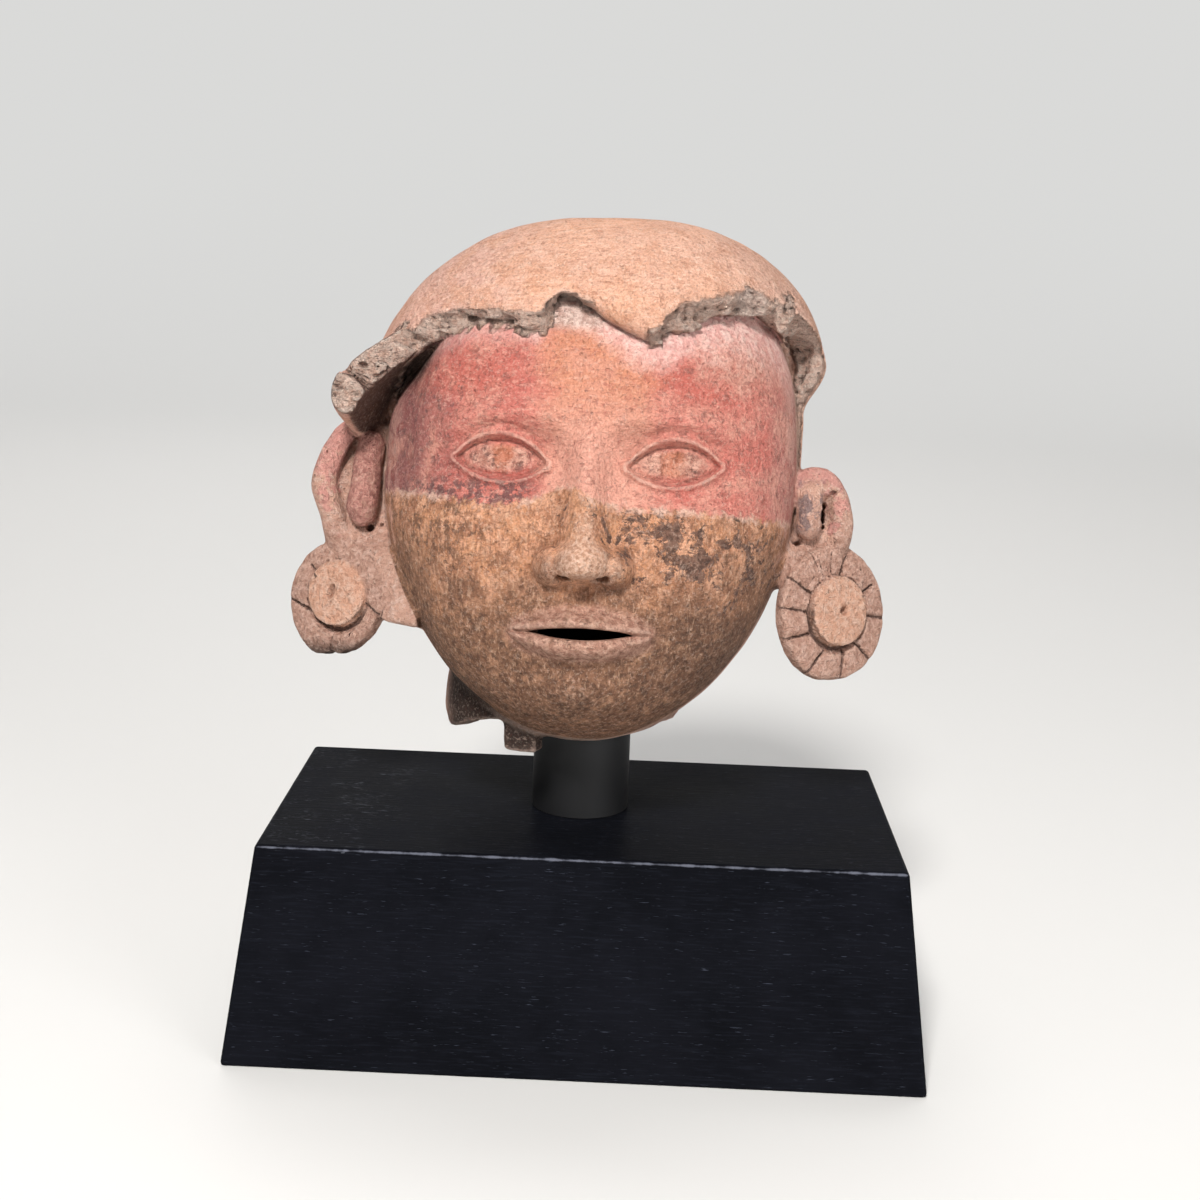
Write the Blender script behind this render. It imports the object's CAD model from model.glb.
import math

import bpy
import numpy as np
from mathutils import Matrix, Vector


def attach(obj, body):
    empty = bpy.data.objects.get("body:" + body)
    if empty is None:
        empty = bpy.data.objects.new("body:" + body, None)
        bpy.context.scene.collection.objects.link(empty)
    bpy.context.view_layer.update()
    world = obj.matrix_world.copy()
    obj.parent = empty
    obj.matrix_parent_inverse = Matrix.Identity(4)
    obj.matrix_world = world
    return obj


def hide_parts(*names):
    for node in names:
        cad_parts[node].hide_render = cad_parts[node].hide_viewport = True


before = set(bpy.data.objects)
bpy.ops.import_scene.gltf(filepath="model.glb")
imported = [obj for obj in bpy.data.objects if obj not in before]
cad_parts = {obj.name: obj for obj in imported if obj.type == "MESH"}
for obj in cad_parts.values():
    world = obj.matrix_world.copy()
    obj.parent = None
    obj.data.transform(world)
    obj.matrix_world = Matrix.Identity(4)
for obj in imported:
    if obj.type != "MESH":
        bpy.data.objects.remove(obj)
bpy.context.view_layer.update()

# ------------------------------------------------------------------ sizes, in millimetres

BASE_BOTTOM = (214.0, 120.0)
BASE_TOP = (196.0, 102.0)
BASE_H = 68.0

POST_X, POST_R = -2.2, 15.5
POST_FOOT, POST_TOP = 68.3, 240.95

HEAD_AT = np.array([-2.5, 0.0, 174.0])
HEAD_TILT = math.radians(13.0)

WIDEST_Z = 8.0
SKIN_W, SKIN_F, SKIN_B, SKIN_TOP, SKIN_CHIN = 64.0, 51.0, 60.0, 73.0, -81.0
CAP_L, CAP_R, CAP_F, CAP_B, CAP_TOP = 72.0, 74.0, 58.0, 68.0, 80.5
WALL = 8.0

EYE_X, EYE_Z, EYE_HALF = 25.0, 1.5, 13.0
NOSE_TIP_Z, NOSE_BASE_Z = -27.0, -32.5
MOUTH_Z, MOUTH_HALF = -47.0, 22.0
CHIN_Z = -65.0

NECK_R, NECK_BORE = 39.0, 30.0
NECK_AT = np.array([-9.0, 6.0, 93.0])

STEP = 0.7
TARGET_TRIS = 192000

# ------------------------------------------------------------------ camera

cam_data = bpy.data.cameras.new("camera")
cam_data.sensor_width = 36.0
cam_data.lens = 54.0
cam_data.clip_start = 0.01
camera = bpy.data.objects.new("camera", cam_data)
bpy.context.scene.collection.objects.link(camera)
camera.matrix_world = (
    Matrix.Translation((0.0108, -0.559, 0.2586))
    @ Matrix.Rotation(math.radians(0.92), 4, "Z")
    @ Matrix.Rotation(math.radians(90 - 12.35), 4, "X")
    @ Matrix.Rotation(math.radians(2.2), 4, "Z")
)
bpy.context.scene.camera = camera

# ------------------------------------------------------------------ small field helpers

f32 = np.float32


def smooth(a, b, v):
    t = np.clip((v - a) / (b - a), 0, 1)
    return t * t * (3 - 2 * t)


def hill(u, s):
    return np.exp(-((u / s) ** 2))


def smin(a, b, k):
    h = np.clip(0.5 + 0.5 * (b - a) / k, 0, 1)
    return b + (a - b) * h - k * h * (1 - h)


def smax(a, b, k):
    return -smin(-a, -b, k)


rng = np.random.default_rng(20417)
LATTICE = (rng.random((32, 32, 32)) * 2 - 1).astype(f32)


def noise(x, y, z, size, seed=0.0):
    """Smooth lattice noise between -1 and 1, with features about size across."""
    out = []
    for c, k in ((x, 7.31), (y, 3.77), (z, 11.9)):
        c = c / size + seed * k + 100.0
        i = np.floor(c).astype(np.int32)
        t = (c - i).astype(f32)
        out.append((i & 31, (i + 1) & 31, t * t * (3 - 2 * t)))
    (x0, x1, u), (y0, y1, v), (z0, z1, w) = out
    a = LATTICE[x0, y0, z0] * (1 - u) + LATTICE[x1, y0, z0] * u
    b = LATTICE[x0, y1, z0] * (1 - u) + LATTICE[x1, y1, z0] * u
    c = LATTICE[x0, y0, z1] * (1 - u) + LATTICE[x1, y0, z1] * u
    d = LATTICE[x0, y1, z1] * (1 - u) + LATTICE[x1, y1, z1] * u
    return (a * (1 - v) + b * v) * (1 - w) + (c * (1 - v) + d * v) * w


def rough(x, y, z, size, seed, octaves=3):
    """Noise with finer and finer detail, for broken clay."""
    total, amp = 0.0, 1.0
    for o in range(octaves):
        total = total + amp * noise(x, y, z, size / 2**o, seed + o * 1.7)
        amp *= 0.55
    return total


def spline(points, n):
    """n + 1 points along a smooth curve through the given points."""
    p = np.array(points, float)
    p = np.vstack([2 * p[0] - p[1], p, 2 * p[-1] - p[-2]])
    m = len(p) - 3
    out = []
    for s in np.linspace(0, m, n + 1):
        i = min(int(s), m - 1)
        t = s - i
        a, b, c, d = p[i : i + 4]
        out.append(
            0.5
            * (
                2 * b
                + (c - a) * t
                + (2 * a - 5 * b + 4 * c - d) * t * t
                + (3 * b - a - 3 * c + d) * t**3
            )
        )
    return np.array(out)


def within(x, y, z, box):
    (x0, x1), (y0, y1), (z0, z1) = box
    return np.flatnonzero(
        (x > x0) & (x < x1) & (y > y0) & (y < y1) & (z > z0) & (z < z1)
    )


def roll_field(x, y, z, pts, radii):
    """Distance to a roll of clay whose thickness changes along its curve."""
    best = np.full(x.shape, 1e3, f32)
    for (a, b), (ra, rb) in zip(zip(pts[:-1], pts[1:]), zip(radii[:-1], radii[1:])):
        d = b - a
        L = float(d @ d)
        px, py, pz = x - a[0], y - a[1], z - a[2]
        t = np.clip((px * d[0] + py * d[1] + pz * d[2]) / L, 0, 1)
        q = np.sqrt((px - t * d[0]) ** 2 + (py - t * d[1]) ** 2 + (pz - t * d[2]) ** 2)
        best = np.minimum(best, q - (ra + (rb - ra) * t))
    return best


def outline_field(px, pz, verts):
    """Signed distance in a plane to a closed outline."""
    v = np.array(verts, float)
    best = np.full(px.shape, 1e9)
    inside = np.zeros(px.shape, bool)
    for i in range(len(v)):
        a, b = v[i], v[(i + 1) % len(v)]
        d = b - a
        wx, wz = px - a[0], pz - a[1]
        t = np.clip((wx * d[0] + wz * d[1]) / float(d @ d), 0, 1)
        best = np.minimum(best, (wx - t * d[0]) ** 2 + (wz - t * d[1]) ** 2)
        crosses = (a[1] > pz) != (b[1] > pz)
        if abs(d[1]) > 1e-9:
            inside ^= crosses & (px < a[0] + (pz - a[1]) / d[1] * d[0])
    return np.where(inside, -1, 1) * np.sqrt(best)


# ------------------------------------------------------------------ the face's relief
# A map of how far the clay stands forward of the plain head, drawn once and then sampled.

MAP_STEP = 0.25
mx = np.arange(-72, 72.01, MAP_STEP)
mz = np.arange(-92, 60.01, MAP_STEP)
MX, MZ = np.meshgrid(mx, mz, indexing="ij")


def face_relief(x, z):
    ax = np.abs(x)
    h = np.zeros_like(x)
    # forehead, a little full
    h += 1.2 * hill(ax, 26) * hill(z - 30, 16)
    # brows: a soft ridge over each eye
    brow = 15.2 - 0.0105 * (ax - 21) ** 2
    h += 3.1 * hill(z - brow, 4.4) * smooth(1, 12, ax) * (1 - smooth(34, 50, ax))
    # sockets, deepest beside the nose
    h -= 5.4 * hill(ax - 22, 15) * hill(z - EYE_Z, 8.8)
    h -= 1.9 * hill(ax - 11.5, 5) * hill(z - 4, 6)
    # cheeks
    h += 3.0 * hill(ax - 34, 15) * hill(z + 19, 15)
    # mound round the mouth
    h += 3.4 * hill(ax, 21) * hill(z - MOUTH_Z, 13)
    # chin and the hollow above it
    h += 7.4 * hill(ax, 17) * hill(z - CHIN_Z, 10.5)
    h -= 2.3 * hill(ax, 14) * hill(z - (MOUTH_Z - 11.6), 3.4)
    # jaw
    h += 1.6 * hill(ax - 40, 12) * hill(z + 46, 14)

    # nose: a ridge, a rounded tip, two wings, joined softly
    down = np.clip((9 - z) / (9 - NOSE_TIP_Z), 0, 1)
    ridge_h = 3.4 + 10.6 * down**1.25
    ridge_w = 4.6 + 2.6 * down
    ridge = ridge_h * np.exp(-((ax / ridge_w) ** 2.3)) * (1 - smooth(4, 20, z))
    ridge *= smooth(NOSE_BASE_Z - 1.2, NOSE_BASE_Z + 2.6, z)
    tip = 15.4 * np.sqrt(
        np.clip(1 - (ax / 9.4) ** 2 - ((z - NOSE_TIP_Z + 0.6) / 8.0) ** 2, 0, 1)
    )
    tip *= smooth(NOSE_BASE_Z - 1.6, NOSE_BASE_Z + 1.6, z)
    wing = 9.4 * np.sqrt(
        np.clip(1 - ((ax - 8.8) / 6.0) ** 2 - ((z - NOSE_TIP_Z + 1.4) / 6.0) ** 2, 0, 1)
    )
    nose = smax(smax(ridge, tip, 2.2), wing, 1.6) - 0.3
    h = h + np.maximum(nose, 0)
    # crease behind the wings, running on towards the corners of the mouth
    fold = ax - (12.6 + np.clip(-(z - NOSE_TIP_Z), 0, 40) * 0.55)
    h -= 1.2 * hill(fold, 2.2) * smooth(-20, -26, z) * (1 - smooth(-38, -46, z))
    # groove from nose to lip
    h -= 1.0 * hill(ax, 2.3) * smooth(NOSE_BASE_Z - 8.5, NOSE_BASE_Z - 6, z) * (
        1 - smooth(NOSE_BASE_Z - 2, NOSE_BASE_Z, z)
    )
    h += 0.45 * hill(ax - 3.7, 1.5) * hill(z - (NOSE_BASE_Z - 5), 4)

    # lips: two soft rolls meeting along a slightly bowed line
    m = np.clip(ax / MOUTH_HALF, 0, 1)
    line = MOUTH_Z - 0.9 * (1 - m**2) + 1.1 * hill(ax, 4.0) * 0.5
    top = line + 6.4 * (1 - m**1.8) ** 0.75 + 0.8 * hill(ax - 4.6, 2.6) - 0.9 * hill(ax, 2.2)
    bot = line - 7.6 * (1 - m**2.2) ** 0.8
    tu = np.clip((z - line) / np.maximum(top - line, 0.05), 0, 1)
    tl = np.clip((line - z) / np.maximum(line - bot, 0.05), 0, 1)
    up = np.where(
        (z >= line) & (z <= top), np.sin(np.pi * tu**0.8) ** 0.6, 0
    ) * np.clip(1 - m**2.4, 0, 1) ** 0.6
    lo = np.where(
        (z < line) & (z >= bot), np.sin(np.pi * tl**0.9) ** 0.6, 0
    ) * np.clip(1 - m**2.4, 0, 1) ** 0.6
    h += 4.5 * up + 5.0 * lo
    h -= 1.0 * hill(ax - MOUTH_HALF, 2.6) * hill(z - MOUTH_Z, 3.0)

    # eyes: an almond with a thin clay rim, a groove inside it and a smooth ball
    u = ax - EYE_X
    v = z - EYE_Z - 0.045 * u
    span = np.clip(1 - (u / EYE_HALF) ** 2, 0, 1) ** 0.85
    s = np.minimum(6.3 * span - v, v + 4.9 * span)
    s = np.where(np.abs(u) > EYE_HALF, -np.hypot(np.abs(u) - EYE_HALF, v), s)
    inside = smooth(-0.2, 0.9, s)
    ball = 3.2 * np.clip(1 - (u / 14.5) ** 2 - (v / 8.5) ** 2, 0, 1)
    h += inside * (ball - 1.0)
    h += 2.5 * hill(s + 1.25, 1.25) * (1 - smooth(EYE_HALF + 1.5, EYE_HALF + 4, np.abs(u)))
    h -= 1.2 * hill(s - 0.40, 0.65) * smooth(EYE_HALF + 0.5, EYE_HALF - 2, np.abs(u))
    # a soft fold above the lid
    h -= 0.8 * hill(v - 6.3 * span - 4.0, 0.9) * span
    return h


RELIEF = face_relief(MX, MZ).astype(f32)


def relief_at(x, z):
    gx = np.clip((x - mx[0]) / MAP_STEP, 0, len(mx) - 1.001)
    gz = np.clip((z - mz[0]) / MAP_STEP, 0, len(mz) - 1.001)
    i, k = gx.astype(np.int32), gz.astype(np.int32)
    u, w = gx - i, gz - k
    return (
        RELIEF[i, k] * (1 - u) * (1 - w)
        + RELIEF[i + 1, k] * u * (1 - w)
        + RELIEF[i, k + 1] * (1 - u) * w
        + RELIEF[i + 1, k + 1] * u * w
    )


# ------------------------------------------------------------------ plain head, cap, brim


def skin_field(x, y, z):
    yy = y + relief_at(x, z) * smooth(-4, -24, y)
    up = z > WIDEST_Z
    t = np.clip(
        np.where(up, (z - WIDEST_Z) / (SKIN_TOP - WIDEST_Z), (WIDEST_Z - z) / (WIDEST_Z - SKIN_CHIN)),
        0,
        0.9995,
    )
    gw = np.where(up, (1 - t**2.4) ** (1 / 2.4), (1 - t**2.25) ** 0.55)
    gf = np.where(up, gw, (1 - t**3.2) ** (1 / 2.4))
    gb = np.where(up, gw, (1 - t**2.6) ** 0.5)
    d = np.where(yy < 0, SKIN_F * gf, SKIN_B * gb)
    H = (np.abs(x / (SKIN_W * gw)) ** 2.4 + np.abs(yy / d) ** 2.4) ** (1 / 2.4)
    side = (H - 1) * np.minimum(50 * gw, 50)
    rise = np.maximum((z - WIDEST_Z) / (SKIN_TOP - WIDEST_Z), 0)
    crown = (np.abs(x / SKIN_W) ** 2.4 + np.abs(yy / np.where(yy < 0, SKIN_F, SKIN_B)) ** 2.4 + rise**2.4) ** (
        1 / 2.4
    )
    return np.where(up, (crown - 1) * 50, np.maximum(side, SKIN_CHIN - z))


# the broken brim: its lower edge against the forehead and its upper edge on the cap
BRIM = spline(
    [
        (-90, 14, 18), (-78, 18, 25), (-68, 24, 33), (-62, 28.5, 37), (-56, 33.0, 41.0), (-50, 36.0, 44.0),
        (-45, 37.6, 46.0), (-40, 39.2, 47.4), (-34, 40.6, 48.6), (-27, 40.2, 49.2), (-21, 39.9, 47.2), (-17, 40.3, 44.6),
        (-14.6, 41.4, 45.0), (-12.6, 46.4, 48.4), (-10.8, 50.2, 50.8), (-8.2, 51.4, 51.8), (-4.8, 49.6, 50.4),
        (-1.2, 47.0, 48.2), (2.7, 43.0, 44.2), (8.2, 39.9, 41.0), (13, 37.6, 39.0), (16.2, 36.5, 38.6),
        (18.6, 36.4, 41.4), (20.6, 37.2, 46.0), (23.6, 38.5, 48.6), (26, 40.8, 49.6), (28.4, 42.9, 50.2), (33, 45.7, 51.4),
        (38, 47.5, 52.8), (42, 48.5, 55.0), (47.5, 48.5, 54.6), (52, 47.0, 55.6), (56, 44.6, 56.0),
        (59.5, 40.8, 54.0), (62, 36.6, 50.0), (64.5, 30.5, 43.5), (68, 27, 36.0), (73, 25, 31.0), (90, 22, 27.0),
    ],
    560,
)
BRIM_X = np.arange(-92, 92.01, 0.25)
BRIM_LOW = np.interp(BRIM_X, BRIM[:, 0], BRIM[:, 1])
BRIM_HIGH = np.interp(BRIM_X, BRIM[:, 0], BRIM[:, 2])
BRIM_SLOPE_LOW = np.gradient(BRIM_LOW, 0.25)
BRIM_SLOPE_HIGH = np.gradient(BRIM_HIGH, 0.25)


def on_brim(x, table):
    return np.interp(x, BRIM_X, table).astype(f32)


def brim_low(x, y):
    back = smooth(-14, 24, y)
    return on_brim(x, BRIM_LOW) * (1 - back) - (43 + 16 * smooth(20, 66, np.abs(x))) * back


def brim_band(x):
    return on_brim(x, BRIM_HIGH - BRIM_LOW)


def cap_outer(x, y, z):
    r = smooth(-30, 30, x)
    half = CAP_L + (CAP_R - CAP_L) * r
    b = 2.25 + 0.65 * r
    tuck = (half - 64 - 1.5 * r) * (1 - smooth(18 + 5 * r, 34 + 5 * r, z))
    w = half - tuck
    d = np.where(y < 0, CAP_F, CAP_B)
    H = (np.abs(x / w) ** 2.25 + np.abs(y / d) ** 2.25) ** (1 / 2.25)
    up = z > WIDEST_Z
    t = np.where(up, (z - WIDEST_Z) / (CAP_TOP - WIDEST_Z), (WIDEST_Z - z) / (WIDEST_Z - SKIN_CHIN - 12))
    t = np.maximum(t, 0)
    S = np.where(up, (H**b + t**b) ** (1 / b), (H**2 + t**2.6) ** 0.5)
    return (S - 1) * 62


def intact(x):
    """1 where the brim keeps its rolled edge, 0 where it is broken."""
    return smooth(-3, 2, x) * (1 - smooth(15.0, 17.0, x))


def crumble(x, y, z):
    """Layered, flaky relief of a broken edge."""
    flaky = 1.15 * rough(x * 0.5, y, z, 5.0, 1.0, 4) + 0.6 * np.abs(noise(x, y, z, 3.1, 6.6)) - 0.2
    layers = noise(x * 0.30, y * 1.1 + 0.5 * z, z * 1.1 - 0.4 * y, 1.7, 16.6)
    chips = np.abs(noise(x, y + z, z - y, 5.5, 61.0)) - 0.35
    return flaky + 0.85 * np.abs(layers) + 0.7 * noise(x, y, z, 8.0, 36.0) + 1.5 * chips * smooth(19, 28, x)


def chunk_cut(x, y, z):
    """The broken face at the brim's right end, which looks forward: inside where clay is lost."""
    front = -7.0 - 3.2 * np.maximum(z - 43.5, 0) + 4.0 * noise(x, y, z, 12.0, 52.0)
    return np.maximum(np.maximum((y - front) * 0.8, 58.0 - x), z - 54.0)


def brim_cut(x, y, z):
    """How far a point stands above the brim's broken or rolled lower face."""
    start = 1.5 + 1.3 * smooth(18, 26, x)
    q = np.clip((8.0 + cap_outer(x, y, z) - start) / (8.2 - start), 0, 1)
    side = smooth(-12, 6, y)  # the hood's edge behind the ears is whole and rounded
    zc = brim_low(x, y) + brim_band(x) * q * (1 - side)
    slope = on_brim(x, BRIM_SLOPE_LOW) * (1 - q) + on_brim(x, BRIM_SLOPE_HIGH) * q
    lean = brim_band(x) / 7.0 * (1 - side)
    broken = (1 - intact(x)) * (1 - side)
    return (z - zc) / np.sqrt(1 + slope**2 + 0.6 * lean**2), broken, side


def cap_field(x, y, z):
    outer = cap_outer(x, y, z)
    above = 8.0 + outer  # height over the skull beneath
    cut, broken, side = brim_cut(x, y, z)
    cut = cut + broken * 1.35 * crumble(x, y, z)
    ok = intact(x)
    k = 0.5 + 6.0 * ok * (1 - side) + 2.5 * side
    d = smax(outer, -cut, k)
    # a shallow dark gap under the hanging lobe
    slot = np.maximum(above - 1.5 * ok, (z - brim_low(x, y) - 4.5 * ok) * 0.8)
    slot = np.maximum(slot, (y + 8) * 0.6)
    d = smax(d, -slot, 0.7)
    i = within(x, y, z, ((54, 92), (-80, 2), (-10, 60)))
    if len(i):
        lost = chunk_cut(x[i], y[i], z[i]) + 1.4 * crumble(x[i] * 1.4, z[i] * 0.9, y[i])
        d[i] = smax(d[i], -lost, 0.5)
    return d


def temple_gap(x, y, z):
    """The dark space between the hood's left side and the rounded forehead."""
    skull = (
        (np.abs(x / (SKIN_W - 0.3)) ** 2.3 + np.abs((z - 4) / 47.6) ** 2.3 + np.abs(y / 51.5) ** 2.3) ** (1 / 2.3) - 1
    ) * 50
    skull = skull + 0.25 * noise(x, y, z, 9.0, 2.7)
    below = (z - on_brim(x, BRIM_LOW)) * 0.75
    d = smax(9.0 * smooth(-54, -37, x) - skull, below, 0.8)
    return smax(smax(d, x + 37, 1.0), smax(y + 6, -z, 2.0), 1.0)


# ------------------------------------------------------------------ the flap at the left temple
# Middle line and half thickness, at the broken front and at the root by the ear.

FLAP_MID = spline(
    [(-72.2, 16.8, 2.3), (-72.6, 20.6, 4.5), (-70.2, 25.2, 4.8), (-66.4, 29.0, 4.5), (-61.5, 32.6, 4.3), (-55.5, 36.4, 4.2), (-49, 39.8, 4.0)],
    14,
)
FLAP_ROOT = spline(
    [(-68.0, 9.5, 2.4), (-66.8, 13.5, 3.6), (-65.5, 18.5, 4.0), (-63.5, 24, 4.0), (-60.5, 29.5, 4.0), (-56, 35, 4.0), (-50, 39, 4.0)],
    14,
)
FLAP_BACK = 0.0


def flap_field(x, y, z):
    n = len(FLAP_MID) - 1
    u = np.clip((y - FLAP_BACK) / (-34.0 - FLAP_BACK), 0, 1.15)
    k = np.clip(u * (1.6 - 0.6 * u), 0, 1)
    swell = 1.6 * np.sin(np.pi * np.clip(u, 0, 1))
    best = np.full(x.shape, 1e3)
    along = np.zeros(x.shape)

    def vertex(i):
        e, r = FLAP_MID[i], FLAP_ROOT[i]
        return [r[c] + (e[c] - r[c]) * k for c in range(3)]

    for i in range(n):
        ax, az, ar = vertex(i)
        bx, bz, br = vertex(i + 1)
        ax, bx = ax - swell, bx - swell
        dx, dz = bx - ax, bz - az
        L = np.maximum(dx * dx + dz * dz, 1e-6)
        wx, wz = x - ax, z - az
        t = np.clip((wx * dx + wz * dz) / L, 0, 1)
        q = np.hypot(wx - t * dx, wz - t * dz) - (ar + (br - ar) * t)
        nearer = q < best
        along = np.where(nearer, (i + t) / n, along)
        best = np.where(nearer, q, best)
    front = -36.0 + 7.0 * along
    groove = 3.2 * np.exp(-(((along - 0.36) * 34 + (z - 27) * 0.15 + 1.2 * noise(x, y, z, 4.0, 3.8)) / 1.3) ** 2)
    hump = 1.4 * smooth(0.34, 0.1, along)
    face = -(y - front - groove - hump) + 1.6 * crumble(x, y, z)
    return smax(smax(best * 0.88 + 0.2 * noise(x, y, z, 7, 4.4), face * 0.9, 0.7), y - FLAP_BACK - 2, 2.0)


# ------------------------------------------------------------------ ears


def roll(points, n=22):
    """A roll of clay through (x, y, z, radius) points."""
    q = spline(points, n)
    return q[:, :3], q[:, 3]


EARS = {
    -1: dict(
        outer=roll(
            [(-72, -8, 14.5, 3.0), (-76.6, -9, 10.6, 3.2), (-79.4, -10, 5.4, 3.4), (-81.4, -10.5, 0.2, 3.6), (-82.0, -10.5, -4.6, 3.8),
             (-80.6, -10, -10, 3.9), (-78.6, -8.5, -15.6, 3.9), (-78.0, -6.0, -20.4, 3.6), (-78.0, -4, -24, 3.0)]
        ),
        inner=roll([(-67.6, -11, 8.0, 3.9), (-68.4, -11.6, 3.6, 4.1), (-68.8, -12.2, -2, 4.2), (-69.2, -12.6, -8, 4.5), (-69.8, -12.6, -11.2, 4.7), (-69.4, -12.2, -13.2, 4.3)]),
        plate=[(o, z) for o, z in spline([(50, 10), (62, 14), (72, 14), (78.5, 8), (81, 0), (81, -8), (79.5, -16), (79.8, -21), (76, -26), (71.5, -31), (68, -36), (66, -41), (62, -45.5), (50, -48)], 36)],
        front=(-8.2, -9.8, -9.0, -21.0),
        web=(-20, -27, -8.9, -0.51, 78.26),
        blend=(2.2, 0.7),
    ),
    1: dict(
        outer=roll(
            [(64.5, -10, 0.0, 3.4), (67.5, -10.5, 2.6, 3.4), (71.8, -11, 3.0, 3.3), (75.4, -10.5, -1.4, 3.3), (77.4, -9.6, -7, 3.4), (78.0, -8, -13.4, 3.4), (77.0, -4.5, -18.4, 3.3), (76.0, -2, -23, 3.0)]
        ),
        inner=roll([(67.6, -11, 1.0, 3.6), (67.8, -12.5, -4.2, 4.0), (67.6, -12.5, -9.6, 3.9), (67.2, -12, -12.4, 3.5)]),
        plate=[(o, z) for o, z in spline([(50, 2), (62, 6), (70, 5.6), (75.5, 1), (77.5, -7), (78, -14), (76.5, -20), (73, -27), (70, -31.5), (64, -31.5), (50, -30)], 30)],
        front=(-8.6, -8.4, -12.0, -18.0),
        web=(-15, -22, -4.2, -0.66, 77.7),
        blend=(2.6, 2.6),
    ),
}
# small holes and cuts in the ears: start, end, radius
EAR_PITS = {
    -1: (
        ((-67.0, -14, -18.0), (-67.4, -6, -17.6), 1.25),
        ((-65.2, -14, -14.5), (-63.4, -8, -17.0), 0.8),
        ((-81.2, -15, 4.8), (-81.0, -12.6, 4.8), 0.7),
        ((-82.8, -14.6, -10.2), (-81.6, -13.2, -10.6), 0.6),
        ((-66.2, -18.6, -5.4), (-66.6, -17, -5.3), 0.5),
        ((-67.2, -18.6, -9.6), (-67.4, -17.5, -9.8), 0.4),
    ),
    1: (
        ((74.6, -13, -1.4), (72.2, -11, -5.5), 0.95),
        ((72.2, -12, -5.5), (71.9, -10, -8.8), 1.3),
        ((71.9, -12, -8.8), (72.8, -11, -12.7), 1.05),
        ((72.4, -15, -5.2), (72.2, -3, -5.6), 0.85),
        ((71.9, -15, -7.6), (71.9, -2, -7.8), 1.15),
        ((71.8, -15, -9.6), (71.9, -2, -9.6), 1.2),
        ((72.3, -15, -11.8), (72.3, -3, -11.6), 0.95),
        ((66.2, -13, -16.4), (63.6, -8, -17.4), 1.0),
        ((65.2, -13, -16.0), (64.6, -6, -17.6), 1.0),
        ((67.4, -12, -17.2), (63.4, -9, -16.4), 0.8),
        ((68.2, -16.4, -7.4), (72.0, -13.0, -4.6), 0.4),
        ((66.2, -16.2, -10.4), (70.4, -13.4, -8.2), 0.35),
    ),
}


def ear_field(x, y, z, side):
    e = EARS[side]
    y0, y1, z0, z1 = e["front"]
    front = y0 + (y1 - y0) * smooth(z0, z1, z)
    if side < 0:  # hollowed and darker at the top, between the two rolls
        front = front + 4.0 * smooth(-3, 9, z) * hill(x + 74.5, 4.5)
    # the web that runs forward on to the ornament
    z0, z1, at, tilt, mid = e["web"]
    web = at + tilt * (mid - side * x)
    front = front + (np.minimum(web, front) - front) * smooth(z0, z1, z)
    flat = outline_field(side * x, z, e["plate"]) + 0.35 * noise(x, y, z, 5.0, 12.1)
    slab = np.maximum(front - y, y - (2.5 if side < 0 else 3.4))
    d = smax(flat, slab + 0.3 * noise(x, y, z, 5, 7.7), 2.2 if side < 0 else 4.5)
    d = smin(d, roll_field(x, y, z, *e["outer"]) + 0.3 * noise(x, y, z, 4.0, 2.9), e["blend"][0])
    d = smin(d, roll_field(x, y, z, *e["inner"]) + 0.3 * noise(x, y, z, 4.0, 8.9), e["blend"][1])
    for a, b, r in EAR_PITS[side]:
        d = smax(d, -roll_field(x, y, z, np.array([a, b]), (r, r)), 0.4)
    return d


# ------------------------------------------------------------------ ear ornaments

# Rays are cut lines on the ring, from outside to inside, as across and up from the boss's middle.
DISCS = (
    dict(
        at=(-76.9, -6.0, -39.9), r=17.6, yaw=-27, boss=10.4, shift=(1.9, 1.3), hole=(-0.8, 1.0), seed=3.0,
        rays=((-10.4, 8.8, -7.0, 5.2), (-16.5, -2.6, -9.6, -5.4), (10.4, -2.6, 16.0, -5.8), (17.6, -4.5, 14.8, -10.5)),
        fine=((-2.0, -14.5, -1.2, -11.0), (4.6, -13.5, 5.4, -10.0)),
    ),
    dict(
        at=(76.0, -6.0, -38.0), r=20.9, yaw=35, boss=11.0, shift=(0.5, 0.4), hole=(0.8, 0.4), seed=6.0,
        rays=((2.6, 17.2, 0.7, 11.2), (14.4, 8.9, 8.6, 5.2), (18.0, -1.0, 11.0, -0.7), (14.4, -14.2, 8.0, -9.2), (3.0, -21.0, 3.5, -10.6), (-11.6, -20.4, -4.6, -12.0), (-20.6, -9.3, -10.8, -7.2), (-21.9, 0.5, -12.0, -0.4), (-17.9, 9.3, -10.8, 5.2)),
        fine=((-3.0, 19.1, -3.7, 12.1), (-12.8, 6.5, -10.1, 10.2), (-11.4, 18.2, -9.0, 13.6), (-8.0, 15.0, -6.6, 10.8)),
    ),
)
DISC_T, BOSS_H = 6.0, 2.1


def disc_frame(x, y, z, disc):
    a = math.radians(disc["yaw"])
    dx, dy, dz = x - disc["at"][0], y - disc["at"][1], z - disc["at"][2]
    return dx * math.cos(a) + dy * math.sin(a), -dx * math.sin(a) + dy * math.cos(a), dz


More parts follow.
